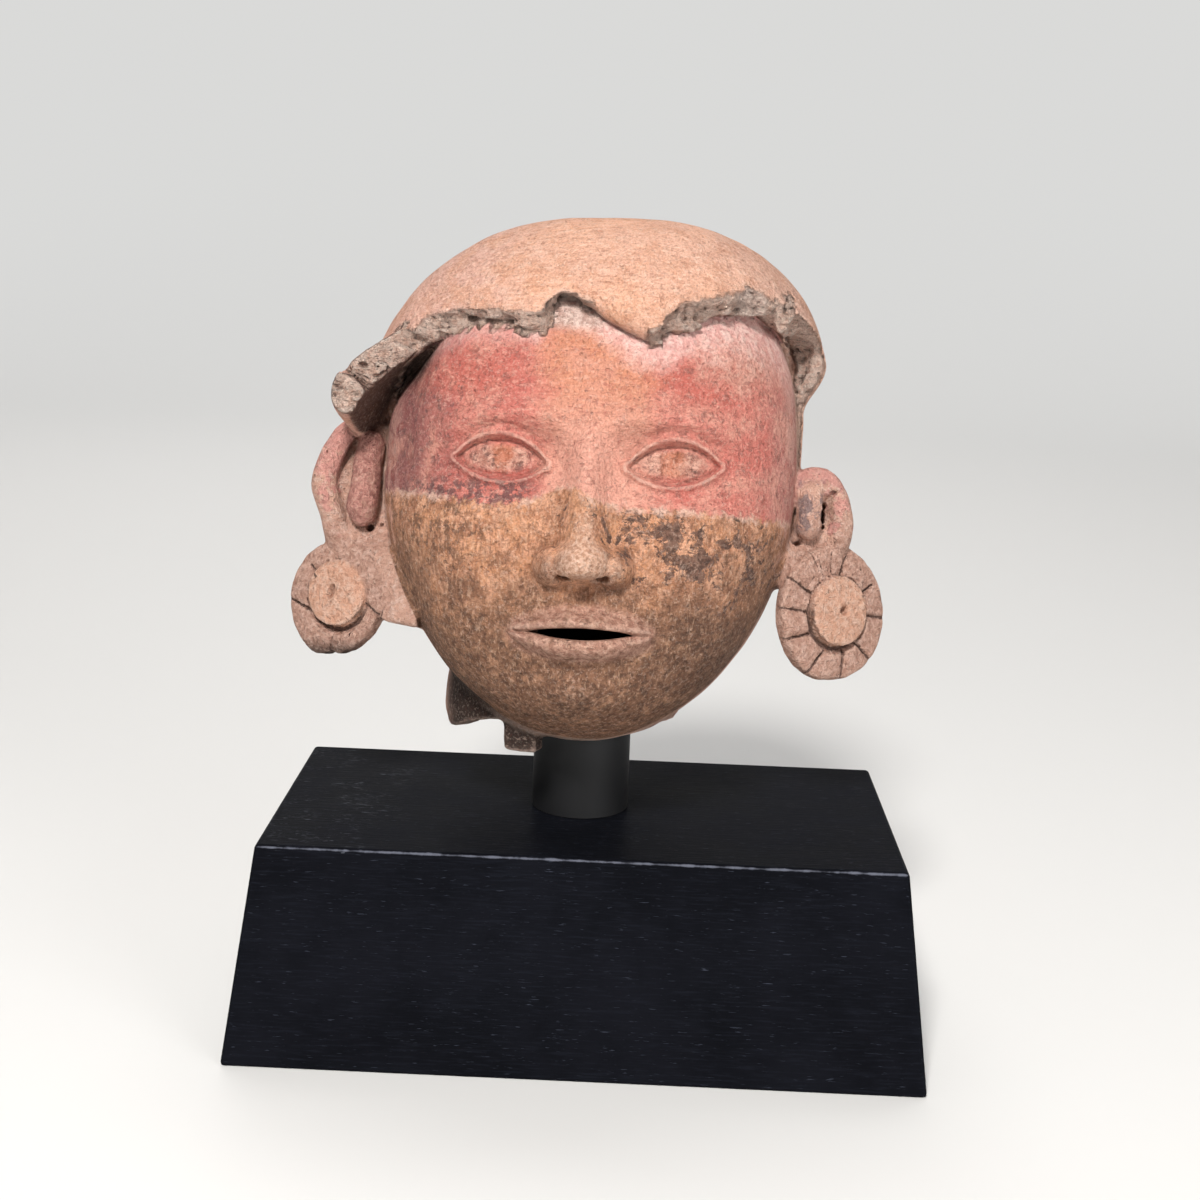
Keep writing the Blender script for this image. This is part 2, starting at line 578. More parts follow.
def disc_field(x, y, z, disc):
    u, v, w = disc_frame(x, y, z, disc)
    left = disc["yaw"] < 0
    r = np.hypot(u, w)
    ang = np.arctan2(u, w)
    seed = disc["seed"]
    wob = 0.5 * noise(np.sin(ang) * 12, np.cos(ang) * 12, v, 7.0, seed) + 0.25 * noise(u, v, w, 3.0, seed + 1)
    edge = r - (disc["r"] - 0.2 + wob)
    if left:  # chipped and flattened along its lower edge
        low = smooth(0.2, -0.9, np.cos(ang))
        edge = edge + 1.2 * hill(u + 0.5, 1.6) * low + 0.8 * np.clip(noise(u, v, w, 4.0, 9.0), 0, 1) * low
        edge = edge + 1.3 * hill(ang - 2.45, 0.35) - 0.9 * hill(ang + 2.75, 0.3)
        edge = edge + 1.2 * smooth(4, 14, u) * smooth(0, 10, w)
    # distance from the middle of the raised boss, which sits a little off centre
    bu, bw = u - disc["shift"][0], w - disc["shift"][1]
    br = np.hypot(bu, bw)
    bang = np.arctan2(bu, bw)
    depth = v + DISC_T / 2  # 0 on the rim's face, more inside
    pillow = np.zeros_like(r)
    cuts = np.full(r.shape, 1e3)
    for k, (u0, w0, u1, w1) in enumerate(disc["rays"] + disc["fine"]):
        faint = k >= len(disc["rays"])
        du, dw = u1 - u0, w1 - w0
        L = math.hypot(du, dw)
        along = ((bu - u0) * du + (bw - w0) * dw) / L
        across = np.abs(((bu - u0) * dw - (bw - w0) * du) / L) + 0.25 * noise(u, v, w, 2.0, seed + k)
        on_line = smooth(-3, 0, along) * smooth(L + 3, L, along)
        pillow = np.maximum(pillow, on_line * hill(across, 1.9) * (0.3 if faint else 1))
        deep, wide = (0.9, 0.5) if faint else (2.0, 0.78 - 0.30 * np.clip(depth, 0, 2.0))
        beyond = 3.0 if math.hypot(u0, w0) > disc["r"] - 3 else 0.0
        cut = np.maximum(np.maximum(across - wide, depth - deep), np.maximum(-along - beyond, along - L))
        cuts = np.minimum(cuts, cut)
    slope = 0.7 * smooth(disc["boss"], disc["r"], r)
    face = slope + 0.45 * pillow - depth
    d = smax(smax(edge, face, 1.8), v - DISC_T / 2, 1.5)
    d = smax(d, -cuts, 0.35)
    # the boss, with a groove pressed round its foot, deepest below
    top = -(depth + BOSS_H - 0.7 * (br / disc["boss"]) ** 2)
    soft = 1.4 + (3.0 * smooth(0.2, 0.9, np.sin(bang + 0.9)) if left else 0.0)
    boss = smax(smax(br - disc["boss"] - 0.25 * wob, top, soft), v, 0.5)
    under = hill(np.abs(np.abs(bang) - math.pi), 1.25)
    ring = np.hypot(br - disc["boss"] - 0.5, (depth - 0.5) * 0.8) - (0.45 + 1.15 * under)
    d = smax(smin(d, boss, 0.3), -ring, 0.3)
    hx, hz = disc["hole"]
    tip = depth + BOSS_H
    if left:  # a slanting oval poke
        hu, hw = (bu - hx) * 0.94 + (bw - hz) * -0.34, (bw - hz) * 0.94 + (bu - hx) * 0.34
        hole = np.sqrt((hu / 1.5) ** 2 + (hw / 2.9) ** 2 + (tip / 3.2) ** 2) - 1
    else:
        hole = np.sqrt(((bu - hx) / 1.55) ** 2 + ((bw - hz) / 1.6) ** 2 + (tip / 3.4) ** 2) - 1
    return smax(d, -hole * 1.3, 0.5)


# ------------------------------------------------------------------ neck, hollow, holes

CT, ST = math.cos(HEAD_TILT), math.sin(HEAD_TILT)


def to_world(x, y, z):
    return x + HEAD_AT[0], CT * y + ST * z + HEAD_AT[1], -ST * y + CT * z + HEAD_AT[2]


def neck_edge(a):
    return (
        4.0
        + 6.0 * smooth(-1.25, -0.5, a)
        - 1.5 * hill(a - 1.05, 0.3)
        - 6.0 * smooth(1.9, 2.9, a)
        + 0.8 * np.sin(3 * a + 0.8)
        + 0.5 * np.sin(7 * a)
        + 0.3 * np.sin(13 * a + 1)
    )


def neck_field(x, y, z):
    wx, wy, wz = to_world(x, y, z)
    px, py = wx - NECK_AT[0], wy - NECK_AT[1]
    r = np.hypot(px, py)
    a = np.arctan2(px, -py)
    up = wz - NECK_AT[2]
    outer = r - (NECK_R - 0.4 - 2.6 * smooth(4, 30, up) + 0.5 * noise(wx, wy, wz, 11, 2.2))
    crumb = rough(x, y, z, 6.0, 8.0, 4)
    low = -(up - neck_edge(a) + 0.7 * crumb) * 0.85
    wall = smax(smax(outer, NECK_BORE - r, 0.8), low, 0.7)
    wall = smax(wall, up - 44, 4)
    # tongue of wall left standing lower at the front
    tx = (px + 10.7) * math.cos(0.28) + (py + 34.0) * math.sin(-0.28)
    ty = (px + 10.7) * math.sin(0.28) + (py + 34.0) * math.cos(0.28)
    half = 5.0 + 0.04 * (up + 1.5) + 0.3 * noise(wx, wy, wz, 4, 3.3)
    tongue = smax(np.abs(tx) - half, np.abs(ty) - 3.5, 1.6)
    tongue = smax(tongue, -(up - 1.5 + 0.4 * crumb), 1.0)
    tongue = smax(tongue, up - 26, 3)
    return smin(wall, tongue, 1.5)


def hollow_field(x, y, z):
    up = z > WIDEST_Z
    top = CAP_TOP - WALL - 0.5
    t = np.where(up, (z - WIDEST_Z) / (top - WIDEST_Z), (WIDEST_Z - z) / (WIDEST_Z - SKIN_CHIN - WALL))
    t = np.maximum(t, 0)
    d = np.where(y < 0, SKIN_F - WALL + 1, CAP_B - WALL - 1)
    H = (np.abs(x / (SKIN_W - WALL + 0.5)) ** 2.3 + np.abs(y / d) ** 2.3) ** (1 / 2.3)
    S = np.where(up, (H**2.3 + t**2.3) ** (1 / 2.3), (H**2.2 + t**2.8) ** (1 / 2.3))
    inner = (S - 1) * 52 + 0.4 * noise(x, y, z, 22, 5.0)
    wx, wy, wz = to_world(x, y, z)
    r = np.hypot(wx - NECK_AT[0], wy - NECK_AT[1])
    bore = np.maximum(r - (NECK_BORE + 0.2 * noise(wx, wy, wz, 8, 1.1)), wz - (NECK_AT[2] + 54))
    return smin(inner, bore, 3.0)


def mouth_field(x, y, z):
    m = np.clip(np.abs(x) / 15.5, 0, 1.2)
    line = MOUTH_Z - 0.9 * (1 - (np.abs(x) / MOUTH_HALF) ** 2) + 0.35
    half = 1.7 * np.clip(1 - m**2, 0, 1)
    d = np.abs(z - line) - half
    d = np.where(np.abs(x) > 15.5, np.hypot(np.abs(x) - 15.5, z - line), d)
    return np.maximum(d, y + 30)


def nostril_field(x, y, z):
    ax = np.abs(x)
    a = np.array([5.6, -60.5, NOSE_BASE_Z - 4.0])
    b = np.array([4.6, -45.0, NOSE_BASE_Z + 12.0])
    d = b - a
    px, py, pz = ax - a[0], y - a[1], z - a[2]
    t = np.clip((px * d[0] + py * d[1] + pz * d[2]) / float(d @ d), 0, 1)
    q = np.sqrt(((px - t * d[0]) / 1.15) ** 2 + (py - t * d[1]) ** 2 + (pz - t * d[2]) ** 2)
    return q - 2.1


def head_field(x, y, z):
    d = skin_field(x, y, z)
    d = smin(d, neck_field(x, y, z), 4.0)
    cap = cap_field(x, y, z)
    d = smin(d, cap, 0.45)
    i = within(x, y, z, ((-84, -33), (-70, -3), (-4, 52)))
    if len(i):
        d[i] = smax(d[i], -temple_gap(x[i], y[i], z[i]), 0.8)
    i = within(x, y, z, ((-95, -38), (-62, 12), (-4, 60)))
    if len(i):
        d[i] = smin(d[i], flap_field(x[i], y[i], z[i]), 1.2)
    for side in (-1, 1):
        i = within(side * x, y, z, ((48, 96), (-26, 12), (-58, 20)))
        if len(i):
            d[i] = smin(d[i], ear_field(x[i], y[i], z[i], side), 1.6)
    for disc in DISCS:
        cx, cy, cz = disc["at"]
        i = within(x, y, z, ((cx - 27, cx + 27), (cy - 20, cy + 20), (cz - 27, cz + 27)))
        if len(i):
            d[i] = smin(d[i], disc_field(x[i], y[i], z[i], disc), 0.8)
    # uneven hand-made surface
    d = d + 0.34 * noise(x, y, z, 17, 0.5) + 0.10 * noise(x, y, z, 5.0, 1.5) * smooth(30, 0, y)
    d = smax(d, -hollow_field(x, y, z), 1.0)
    i = within(x, y, z, ((-24, 24), (-80, -24), (-60, -12)))
    if len(i):
        d[i] = smax(d[i], -mouth_field(x[i], y[i], z[i]), 0.7)
        d[i] = smax(d[i], -nostril_field(x[i], y[i], z[i]), 0.7)
    return d


# ------------------------------------------------------------------ from field to mesh


def sample_field(field, lo, hi, step, coarse=4):
    n = [int(math.ceil((b - a) / (step * coarse))) for a, b in zip(lo, hi)]
    big = step * coarse
    ax = [lo[i] + big * np.arange(n[i] + 1) for i in range(3)]
    X, Y, Z = (c.ravel().astype(f32) for c in np.meshgrid(*ax, indexing="ij"))
    rough_f = field(X, Y, Z).reshape([m + 1 for m in n])
    neg = rough_f < 0
    mixed = np.zeros(n, bool)
    near = np.full(n, 1e9, f32)
    any_n, all_n = np.zeros(n, bool), np.ones(n, bool)
    for a in (0, 1):
        for b in (0, 1):
            for c in (0, 1):
                s = (slice(a, a + n[0]), slice(b, b + n[1]), slice(c, c + n[2]))
                any_n |= neg[s]
                all_n &= neg[s]
                near = np.minimum(near, np.abs(rough_f[s]))
    mixed = any_n & ~all_n
    grown = mixed.copy()
    for axis in range(3):
        a = np.swapaxes(grown, 0, axis)
        b = a.copy()
        b[1:] |= a[:-1]
        b[:-1] |= a[1:]
        grown = np.swapaxes(b, 0, axis)
    cells = grown | (near < big * 0.9)
    fine = [m * coarse + 1 for m in n]
    sign = np.where(neg, -9.0, 9.0).astype(f32)
    F = np.repeat(np.repeat(np.repeat(sign[:-1, :-1, :-1], coarse, 0), coarse, 1), coarse, 2)
    F = np.pad(F, ((0, 1),) * 3, constant_values=9.0)
    need = np.zeros(fine, bool)
    blown = np.repeat(np.repeat(np.repeat(cells, coarse, 0), coarse, 1), coarse, 2)
    need[:-1, :-1, :-1] |= blown
    need[1:, :-1, :-1] |= blown
    need[:-1, 1:, :-1] |= blown
    need[:-1, :-1, 1:] |= blown
    need[1:, 1:, 1:] |= blown
    need[1:, 1:, :-1] |= blown
    need[1:, :-1, 1:] |= blown
    need[:-1, 1:, 1:] |= blown
    idx = np.flatnonzero(need)
    flat = F.ravel()
    sy, sx = fine[2], fine[1] * fine[2]
    for s in range(0, len(idx), 400000):
        part = idx[s : s + 400000]
        i, rem = np.divmod(part, sx)
        j, k = np.divmod(rem, sy)
        flat[part] = field(
            (lo[0] + step * i).astype(f32), (lo[1] + step * j).astype(f32), (lo[2] + step * k).astype(f32)
        )
    return flat.reshape(fine), len(idx)


def surface_net(F, lo, step):
    """One vertex in each cell that the surface crosses, one quad across each crossed edge."""
    neg = F < 0
    n = [s - 1 for s in F.shape]
    count = np.zeros(n, np.uint8)
    corners = [(a, b, c) for a in (0, 1) for b in (0, 1) for c in (0, 1)]
    for a, b, c in corners:
        count += neg[a : a + n[0], b : b + n[1], c : c + n[2]]
    idx = np.flatnonzero((count > 0) & (count < 8))
    ids = np.full(n[0] * n[1] * n[2], -1, np.int32)
    ids[idx] = np.arange(len(idx), dtype=np.int32)
    ids = ids.reshape(n)
    i, rem = np.divmod(idx, n[1] * n[2])
    j, k = np.divmod(rem, n[2])
    val = {c: F[i + c[0], j + c[1], k + c[2]] for c in corners}
    acc = np.zeros((len(idx), 3))
    num = np.zeros(len(idx))
    for a in corners:
        for axis in range(3):
            if a[axis]:
                continue
            b = list(a)
            b[axis] = 1
            fa, fb = val[a], val[tuple(b)]
            hit = (fa < 0) != (fb < 0)
            t = np.where(hit, fa / np.where(hit, fa - fb, 1), 0)
            for m in range(3):
                acc[:, m] += np.where(hit, a[m] + (t if m == axis else 0), 0)
            num += hit
    verts = acc / num[:, None] + np.stack([i, j, k], 1)
    verts = verts * step + np.array(lo)
    quads = []
    for axis in range(3):
        o1, o2 = [(1, 2), (2, 0), (0, 1)][axis]
        lower = [slice(None)] * 3
        upper = [slice(None)] * 3
        lower[axis] = slice(0, -1)
        upper[axis] = slice(1, None)
        for o in (o1, o2):
            lower[o] = slice(1, -1)
            upper[o] = slice(1, -1)
        a, b = neg[tuple(lower)], neg[tuple(upper)]
        e = np.argwhere(a != b)
        inside_low = a[a != b]
        e[:, o1] += 1
        e[:, o2] += 1

        def cell(d1, d2):
            q = e.copy()
            q[:, o1] -= d1
            q[:, o2] -= d2
            return ids[q[:, 0], q[:, 1], q[:, 2]]

        quad = np.stack([cell(1, 1), cell(0, 1), cell(0, 0), cell(1, 0)], 1)
        quad[~inside_low] = quad[~inside_low][:, ::-1]
        quads.append(quad)
    return verts, np.concatenate(quads)


def keep_largest(verts, quads):
    label = np.arange(len(verts))
    edges = np.concatenate([quads[:, [0, 1]], quads[:, [1, 2]], quads[:, [2, 3]]])
    while True:
        new = label.copy()
        np.minimum.at(new, edges[:, 0], label[edges[:, 1]])
        np.minimum.at(new, edges[:, 1], label[edges[:, 0]])
        new = new[new]
        new = new[new]
        if (new == label).all():
            break
        label = new
    roots, counts = np.unique(label, return_counts=True)
    keep = label == roots[counts.argmax()]
    remap = np.cumsum(keep) - 1
    return verts[keep], remap[quads[keep[quads[:, 0]]]]


def mesh_from(name, verts, faces):
    me = bpy.data.meshes.new(name)
    n, m, k = len(verts), len(faces), faces.shape[1]
    me.vertices.add(n)
    me.vertices.foreach_set("co", np.ascontiguousarray(verts, f32).ravel())
    me.loops.add(m * k)
    me.loops.foreach_set("vertex_index", np.ascontiguousarray(faces, np.int32).ravel())
    me.polygons.add(m)
    me.polygons.foreach_set("loop_start", np.arange(0, m * k, k, dtype=np.int32))
    me.update(calc_edges=True)
    me.validate()
    return me


def put(name, me):
    ob = bpy.data.objects.new(name, me)
    bpy.context.scene.collection.objects.link(ob)
    return ob


def apply_modifiers(ob):
    deps = bpy.context.evaluated_depsgraph_get()
    me = bpy.data.meshes.new_from_object(ob.evaluated_get(deps))
    old = ob.data
    ob.modifiers.clear()
    ob.data = me
    me.name = ob.name
    bpy.data.meshes.remove(old)
    return ob


def vertex_array(me):
    co = np.zeros(len(me.vertices) * 3, f32)
    me.vertices.foreach_get("co", co)
    return co.reshape(-1, 3)


LO, HI = (-97.0, -76.0, -90.0), (95.0, 76.0, 87.0)
F, n_eval = sample_field(head_field, LO, HI, STEP)
verts, quads = surface_net(F, LO, STEP)
del F
verts, quads = keep_largest(verts, quads)
print("field points", n_eval, "verts", len(verts), "quads", len(quads))

head_me = mesh_from("pottery_head_fine", verts, quads)
head = put("pottery_head_fine", head_me)
n_tris = 2 * len(quads)
if n_tris > TARGET_TRIS:
    mod = head.modifiers.new("d", "DECIMATE")
    mod.ratio = TARGET_TRIS / n_tris
    mod.use_collapse_triangulate = True
    apply_modifiers(head)
print("head triangles", len(head.data.polygons))

# ------------------------------------------------------------------ paint and wear masks

me = head.data
co = vertex_array(me)
X, Y, Z = (np.ascontiguousarray(co[:, i]) for i in range(3))
nrm = np.zeros(len(me.vertices) * 3, f32)
me.vertex_normals.foreach_get("vector", nrm)
NX, NY, NZ = nrm.reshape(-1, 3).T

n1 = rough(X, Y, Z, 9.0, 21.0, 4)
n2 = rough(X, Y, Z, 4.5, 23.0, 3)
n3 = noise(X, Y, Z, 22.0, 25.0)


def store(name, values):
    at = me.attributes.new(name, "FLOAT", "POINT")
    at.data.foreach_set("value", np.ascontiguousarray(values, f32))


outer = cap_outer(X, Y, Z)
low = brim_low(X, Y)
above = 8.0 + outer
# how much of each point belongs to the cap rather than to the face under it
on_cap = smooth(2.6, 4.4, above) * smooth(-3, 1, Z - low)
flap_near = np.full(len(X), 99.0, f32)
i = within(X, Y, Z, ((-95, -38), (-62, 12), (-4, 60)))
flap_near[i] = flap_field(X[i], Y[i], Z[i])
on_cap = np.maximum(on_cap, smooth(1.2, 0.3, flap_near))

cut, broken, side_on = brim_cut(X, Y, Z)
cut = cut + broken * 1.35 * crumble(X, Y, Z)
frac = smooth(1.4, 0.6, np.abs(cut)) * smooth(-0.5, -1.1, outer) * broken * smooth(0.3, 1.2, above)
i = within(X, Y, Z, ((54, 92), (-80, 6), (-10, 60)))
lost = np.full(len(X), 9.0, f32)
lost[i] = chunk_cut(X[i], Y[i], Z[i]) + 1.4 * crumble(X[i] * 1.4, Z[i] * 0.9, Y[i])
lost_f = smooth(1.5, 0.6, np.abs(lost)) * smooth(-0.5, -1.1, outer) * smooth(0.2, 1.0, above)
frac = np.maximum(frac, lost_f * smooth(0.3, 1.0, skin_field(X, Y, Z)) * smooth(12, 16, Z))
frac = np.where((flap_near < 1.6) & (Y < -20), np.maximum(frac, smooth(-0.40, -0.62, NY)), frac)
wx, wy, wz = to_world(X, Y, Z)
nr = np.hypot(wx - NECK_AT[0], wy - NECK_AT[1])
neck_low = smooth(NECK_AT[2] + 16, NECK_AT[2] + 9, wz) * smooth(NECK_R + 3, NECK_R + 1, nr)
frac = np.maximum(frac, 0.45 * neck_low * smooth(-0.2, -0.6, NZ))
inner = smooth(1.6, 0.5, hollow_field(X, Y, Z))

facing = smooth(-8, -20, Y)
skin_zone = (1 - on_cap) * (1 - inner) * (1 - frac)
off_skin = smooth(0.7, 1.7, skin_field(X, Y, Z))
on_face = skin_zone * facing * (1 - off_skin)

# red band over the eyes, with a lower edge just under them
edge_low = -12.0 + 2.6 * hill(X + 6, 9) * 2.2 + 0.03 * np.abs(X) + 0.10 * np.maximum(-X - 30, 0) - 0.05 * np.maximum(X - 20, 0)
red = np.minimum(Z - edge_low, (low + 2) - Z)
store("red", np.where(on_face > 0.02, np.clip(red, -12, 12), -12))
store("face", on_face)
store("rim", on_face * smooth(55, 61, np.abs(X)))
store("capm", on_cap)
deep = np.zeros(len(X), f32)
i = within(X, Y, Z, ((-84, -33), (-70, -3), (-4, 52)))
deep[i] = smooth(1.8, 0.8, np.abs(temple_gap(X[i], Y[i], Z[i]))) * smooth(-34, -24, Y[i]) * smooth(20, 30, Z[i])
hood = smooth(1.6, 0.6, flap_near) * smooth(0.1, 0.5, NX) * smooth(-4, -10, Y)
store("hood", np.maximum(hood, deep * smooth(0.2, -0.2, outer)) * (1 - frac))
store("frac", frac)
store("inner", inner)
store("ex", X)
store("ez", Z)
store("ey", Y)
# nose, lips, chin: where hands and weather have rubbed through
relief = relief_at(X, Z) * facing
store("high", on_face * np.clip(relief / 12.0, -0.5, 1.5))
ax = np.abs(X)
lip = on_face * smooth(1, 0.8, np.hypot(X / (MOUTH_HALF + 2), (Z - MOUTH_Z + 0.5) / 9.0))
store("lip", lip)
ear = np.zeros(len(X), f32)
inner_roll = np.zeros(len(X), f32)
for side in (-1, 1):
    i = within(side * X, Y, Z, ((56, 96), (-30, 10), (-60, 22)))
    e = EARS[side]
    ear[i] = np.maximum(ear[i], smooth(1.8, 0.4, roll_field(X[i], Y[i], Z[i], *e["outer"])))
    inner_roll[i] = np.maximum(inner_roll[i], smooth(1.2, 0.4, roll_field(X[i], Y[i], Z[i], *e["inner"])))
disc_m = np.zeros(len(X), f32)
cut_m = np.zeros(len(X), f32)
boss_m = np.zeros(len(X), f32)
for disc, tag in zip(DISCS, "lr"):
    u, v, w = disc_frame(X, Y, Z, disc)
    store("u" + tag, u - disc["shift"][0])
    store("w" + tag, w - disc["shift"][1])
    r = np.hypot(u, w)
    here = smooth(disc["r"] + 3, disc["r"] + 1, r) * smooth(8, 5, np.abs(v))
    disc_m = np.maximum(disc_m, here)
    cut_m = np.maximum(cut_m, here * smooth(0.8, -0.4, v))
    br = np.hypot(u - disc["shift"][0], w - disc["shift"][1])
    boss_m = np.maximum(boss_m, here * smooth(disc["boss"] + 0.6, disc["boss"] - 0.4, br))
# how hollow (+) or how sharp (-) the surface is at each point
pairs = np.zeros(len(me.edges) * 2, np.int32)
me.edges.foreach_get("vertices", pairs)
pairs = pairs.reshape(-1, 2)
normals = nrm.reshape(-1, 3)
step_v = co[pairs[:, 1]] - co[pairs[:, 0]]
length = np.maximum(np.linalg.norm(step_v, axis=1), 1e-4)
near = np.bincount(pairs.ravel(), minlength=len(X))
bend = np.bincount(pairs[:, 0], (step_v * normals[pairs[:, 0]]).sum(1) / length, len(X))
bend += np.bincount(pairs[:, 1], -(step_v * normals[pairs[:, 1]]).sum(1) / length, len(X))
bend /= np.maximum(near, 1)
for _ in range(2):
    around = np.bincount(pairs[:, 0], bend[pairs[:, 1]], len(X)) + np.bincount(pairs[:, 1], bend[pairs[:, 0]], len(X))
    bend = 0.5 * bend + 0.5 * around / np.maximum(near, 1)
store("bend", bend)

# pale worn band under the brim, and the scar where the layer over the forehead is lost
band_w = 3.5 + 2.5 * smooth(0, 12, X) + 3.5 * smooth(26, 38, X) + 3.0 * hill(X + 5, 7)
store("pale", np.where(on_face > 0.02, (Z - (low - band_w)) / band_w, -3))
scar = smooth(-14.5, -12.5, X) * smooth(5, 2, X) * smooth(38.5, 42, Z) * (1 - on_cap) * facing
store("scar", scar)
store("eye", on_face * hill(ax - EYE_X, 11.5) * hill(Z - EYE_Z - 0.8, 4.6))
store("ear", ear * (1 - disc_m))
store("roll", inner_roll * (1 - disc_m) * np.where(X < 0, 1.0, 0.15))
store("disc", disc_m)
store("cuts", cut_m)
store("boss", boss_m)

rot = np.array([[1, 0, 0], [0, CT, ST], [0, -ST, CT]])
world = (co @ rot.T + HEAD_AT) / 1000.0
me.vertices.foreach_set("co", np.ascontiguousarray(world, f32).ravel())
me.update()
me.shade_smooth()

# ------------------------------------------------------------------ materials


def srgb(r, g, b):
    out = []
    for c in (r, g, b):
        c = c / 255.0
        out.append(c / 12.92 if c <= 0.04045 else ((c + 0.055) / 1.055) ** 2.4)
    return (*out, 1.0)


class Nodes:
    """Short names for building a node tree. Lengths are in millimetres of the object."""

    def __init__(self, name):
        self.mat = bpy.data.materials.new(name)
        self.mat.use_nodes = True
        self.t = self.mat.node_tree
        self.t.nodes.clear()
        self.out = self.t.nodes.new("ShaderNodeOutputMaterial")
        self.bsdf = self.t.nodes.new("ShaderNodeBsdfPrincipled")
        self.t.links.new(self.bsdf.outputs[0], self.out.inputs[0])
        self.tc = self.t.nodes.new("ShaderNodeTexCoord")
        self.maps = {}

    def put(self, socket, v):
        if isinstance(v, bpy.types.NodeSocket):
            self.t.links.new(v, socket)
        elif v is not None:
            socket.default_value = v

    def coords(self, size=(1, 1, 1), shift=0.0, turn=(0, 0, 0)):
        key = (tuple(size), shift, tuple(turn))
        if key not in self.maps:
            m = self.t.nodes.new("ShaderNodeMapping")
            m.vector_type = "POINT"
            m.inputs["Scale"].default_value = [1000.0 / s for s in size]
            m.inputs["Location"].default_value = (shift, shift * 0.7, shift * 1.3)
            m.inputs["Rotation"].default_value = turn
            self.t.links.new(self.tc.outputs["Object"], m.inputs["Vector"])
            self.maps[key] = m.outputs[0]
        return self.maps[key]

    def noise(self, size, detail=3.0, rough=0.5, shift=0.0, stretch=(1, 1, 1), turn=(0, 0, 0), distort=0.0):
        n = self.t.nodes.new("ShaderNodeTexNoise")
        self.t.links.new(self.coords([size * s for s in stretch], shift, turn), n.inputs["Vector"])
        n.inputs["Scale"].default_value = 1.0
        n.inputs["Detail"].default_value = detail
        n.inputs["Roughness"].default_value = rough
        n.inputs["Distortion"].default_value = distort
        return n.outputs["Fac"]

    def voronoi(self, size, shift=0.0, stretch=(1, 1, 1), rand=1.0, out="Distance", feature="F1"):
        n = self.t.nodes.new("ShaderNodeTexVoronoi")
        n.feature = feature
        self.t.links.new(self.coords([size * s for s in stretch], shift), n.inputs["Vector"])
        n.inputs["Scale"].default_value = 1.0
        n.inputs["Randomness"].default_value = rand
        return n.outputs[out]

    def attr(self, name):
        n = self.t.nodes.new("ShaderNodeAttribute")
        n.attribute_name = name
        return n.outputs["Fac"]

    def math(self, op, a, b=None, clamp=False):
        n = self.t.nodes.new("ShaderNodeMath")
        n.operation = op
        n.use_clamp = clamp
        self.put(n.inputs[0], a)
        self.put(n.inputs[1], b)
        return n.outputs[0]

    def add(self, a, b):
        return self.math("ADD", a, b)

    def mul(self, a, b):
        return self.math("MULTIPLY", a, b)

    def ramp(self, v, lo, hi, to0=0.0, to1=1.0):
        n = self.t.nodes.new("ShaderNodeMapRange")
        n.interpolation_type = "SMOOTHSTEP"
        self.put(n.inputs["Value"], v)
        n.inputs["From Min"].default_value = lo
        n.inputs["From Max"].default_value = hi
        n.inputs["To Min"].default_value = to0
        n.inputs["To Max"].default_value = to1
        return n.outputs[0]

    def mix(self, fac, a, b, mode="MIX"):
        n = self.t.nodes.new("ShaderNodeMix")
        n.data_type = "RGBA"
        n.blend_type = mode
        n.clamp_factor = True
        self.put(n.inputs[0], fac)
        self.put(n.inputs[6], a)
        self.put(n.inputs[7], b)
        return n.outputs[2]

    def bump(self, height, mm, normal=None, strength=1.0):
        n = self.t.nodes.new("ShaderNodeBump")
        n.inputs["Strength"].default_value = strength
        n.inputs["Distance"].default_value = mm / 1000.0
        self.put(n.inputs["Height"], height)
        if normal is not None:
            self.put(n.inputs["Normal"], normal)
        return n.outputs[0]


# fired clay with worn paint
m = Nodes("fired_clay_worn")
grit = m.noise(0.6, 2, 0.7, 1.0)
fine = m.noise(1.15, 3, 0.7, 3.0)
grain = m.noise(2.2, 4, 0.7, 5.0)
patch = m.noise(5.0, 5, 0.68, 12.0, distort=0.6)
blotch = m.noise(9.0, 4, 0.62, 9.0)
broad = m.noise(28.0, 3, 0.5, 2.0)
strokes = m.noise(0.9, 2, 0.6, 7.0, (1.0, 1.0, 3.6), (0.0, 0.35, 0.0))
swipe = m.noise(1.3, 4, 0.7, 19.0, (4.2, 1.0, 0.9), (0.0, 0.45, 0.0))
x_at, y_at, z_at = m.attr("ex"), m.attr("ey"), m.attr("ez")
bend = m.attr("bend")
hollow = m.ramp(bend, 0.05, 0.22)
sharp = m.ramp(bend, -0.05, -0.22)


def flakes(source, level, soft=0.035):
    """Hard-edged patches covering more as level falls."""
    return m.ramp(source, level, level + soft)


def near_at(axis, at, half, soft):
    d = m.math("ABSOLUTE", m.add(axis, -at))
    return m.ramp(d, half + soft, half)


# cap: peach in the middle, pinkish grey to the sides, gritty
cap_c = m.mix(m.ramp(broad, 0.36, 0.64), srgb(232, 176, 146), srgb(224, 174, 150))
cap_c = m.mix(m.ramp(m.add(x_at, m.mul(m.add(blotch, -0.5), 60.0)), -14.0, -50.0, 0, 0.7), cap_c, srgb(214, 166, 152))
cap_c = m.mix(m.ramp(m.add(x_at, m.mul(m.add(blotch, -0.5), 60.0)), 20.0, 62.0, 0, 0.7), cap_c, srgb(190, 152, 138))
cap_c = m.mix(m.ramp(blotch, 0.44, 0.64, 0, 0.45), cap_c, srgb(206, 146, 112))
cap_c = m.mix(m.ramp(grain, 0.50, 0.68, 0, 0.5), cap_c, srgb(232, 194, 172))
cap_c = m.mix(m.ramp(grain, 0.44, 0.30, 0, 0.55), cap_c, srgb(172, 122, 102))
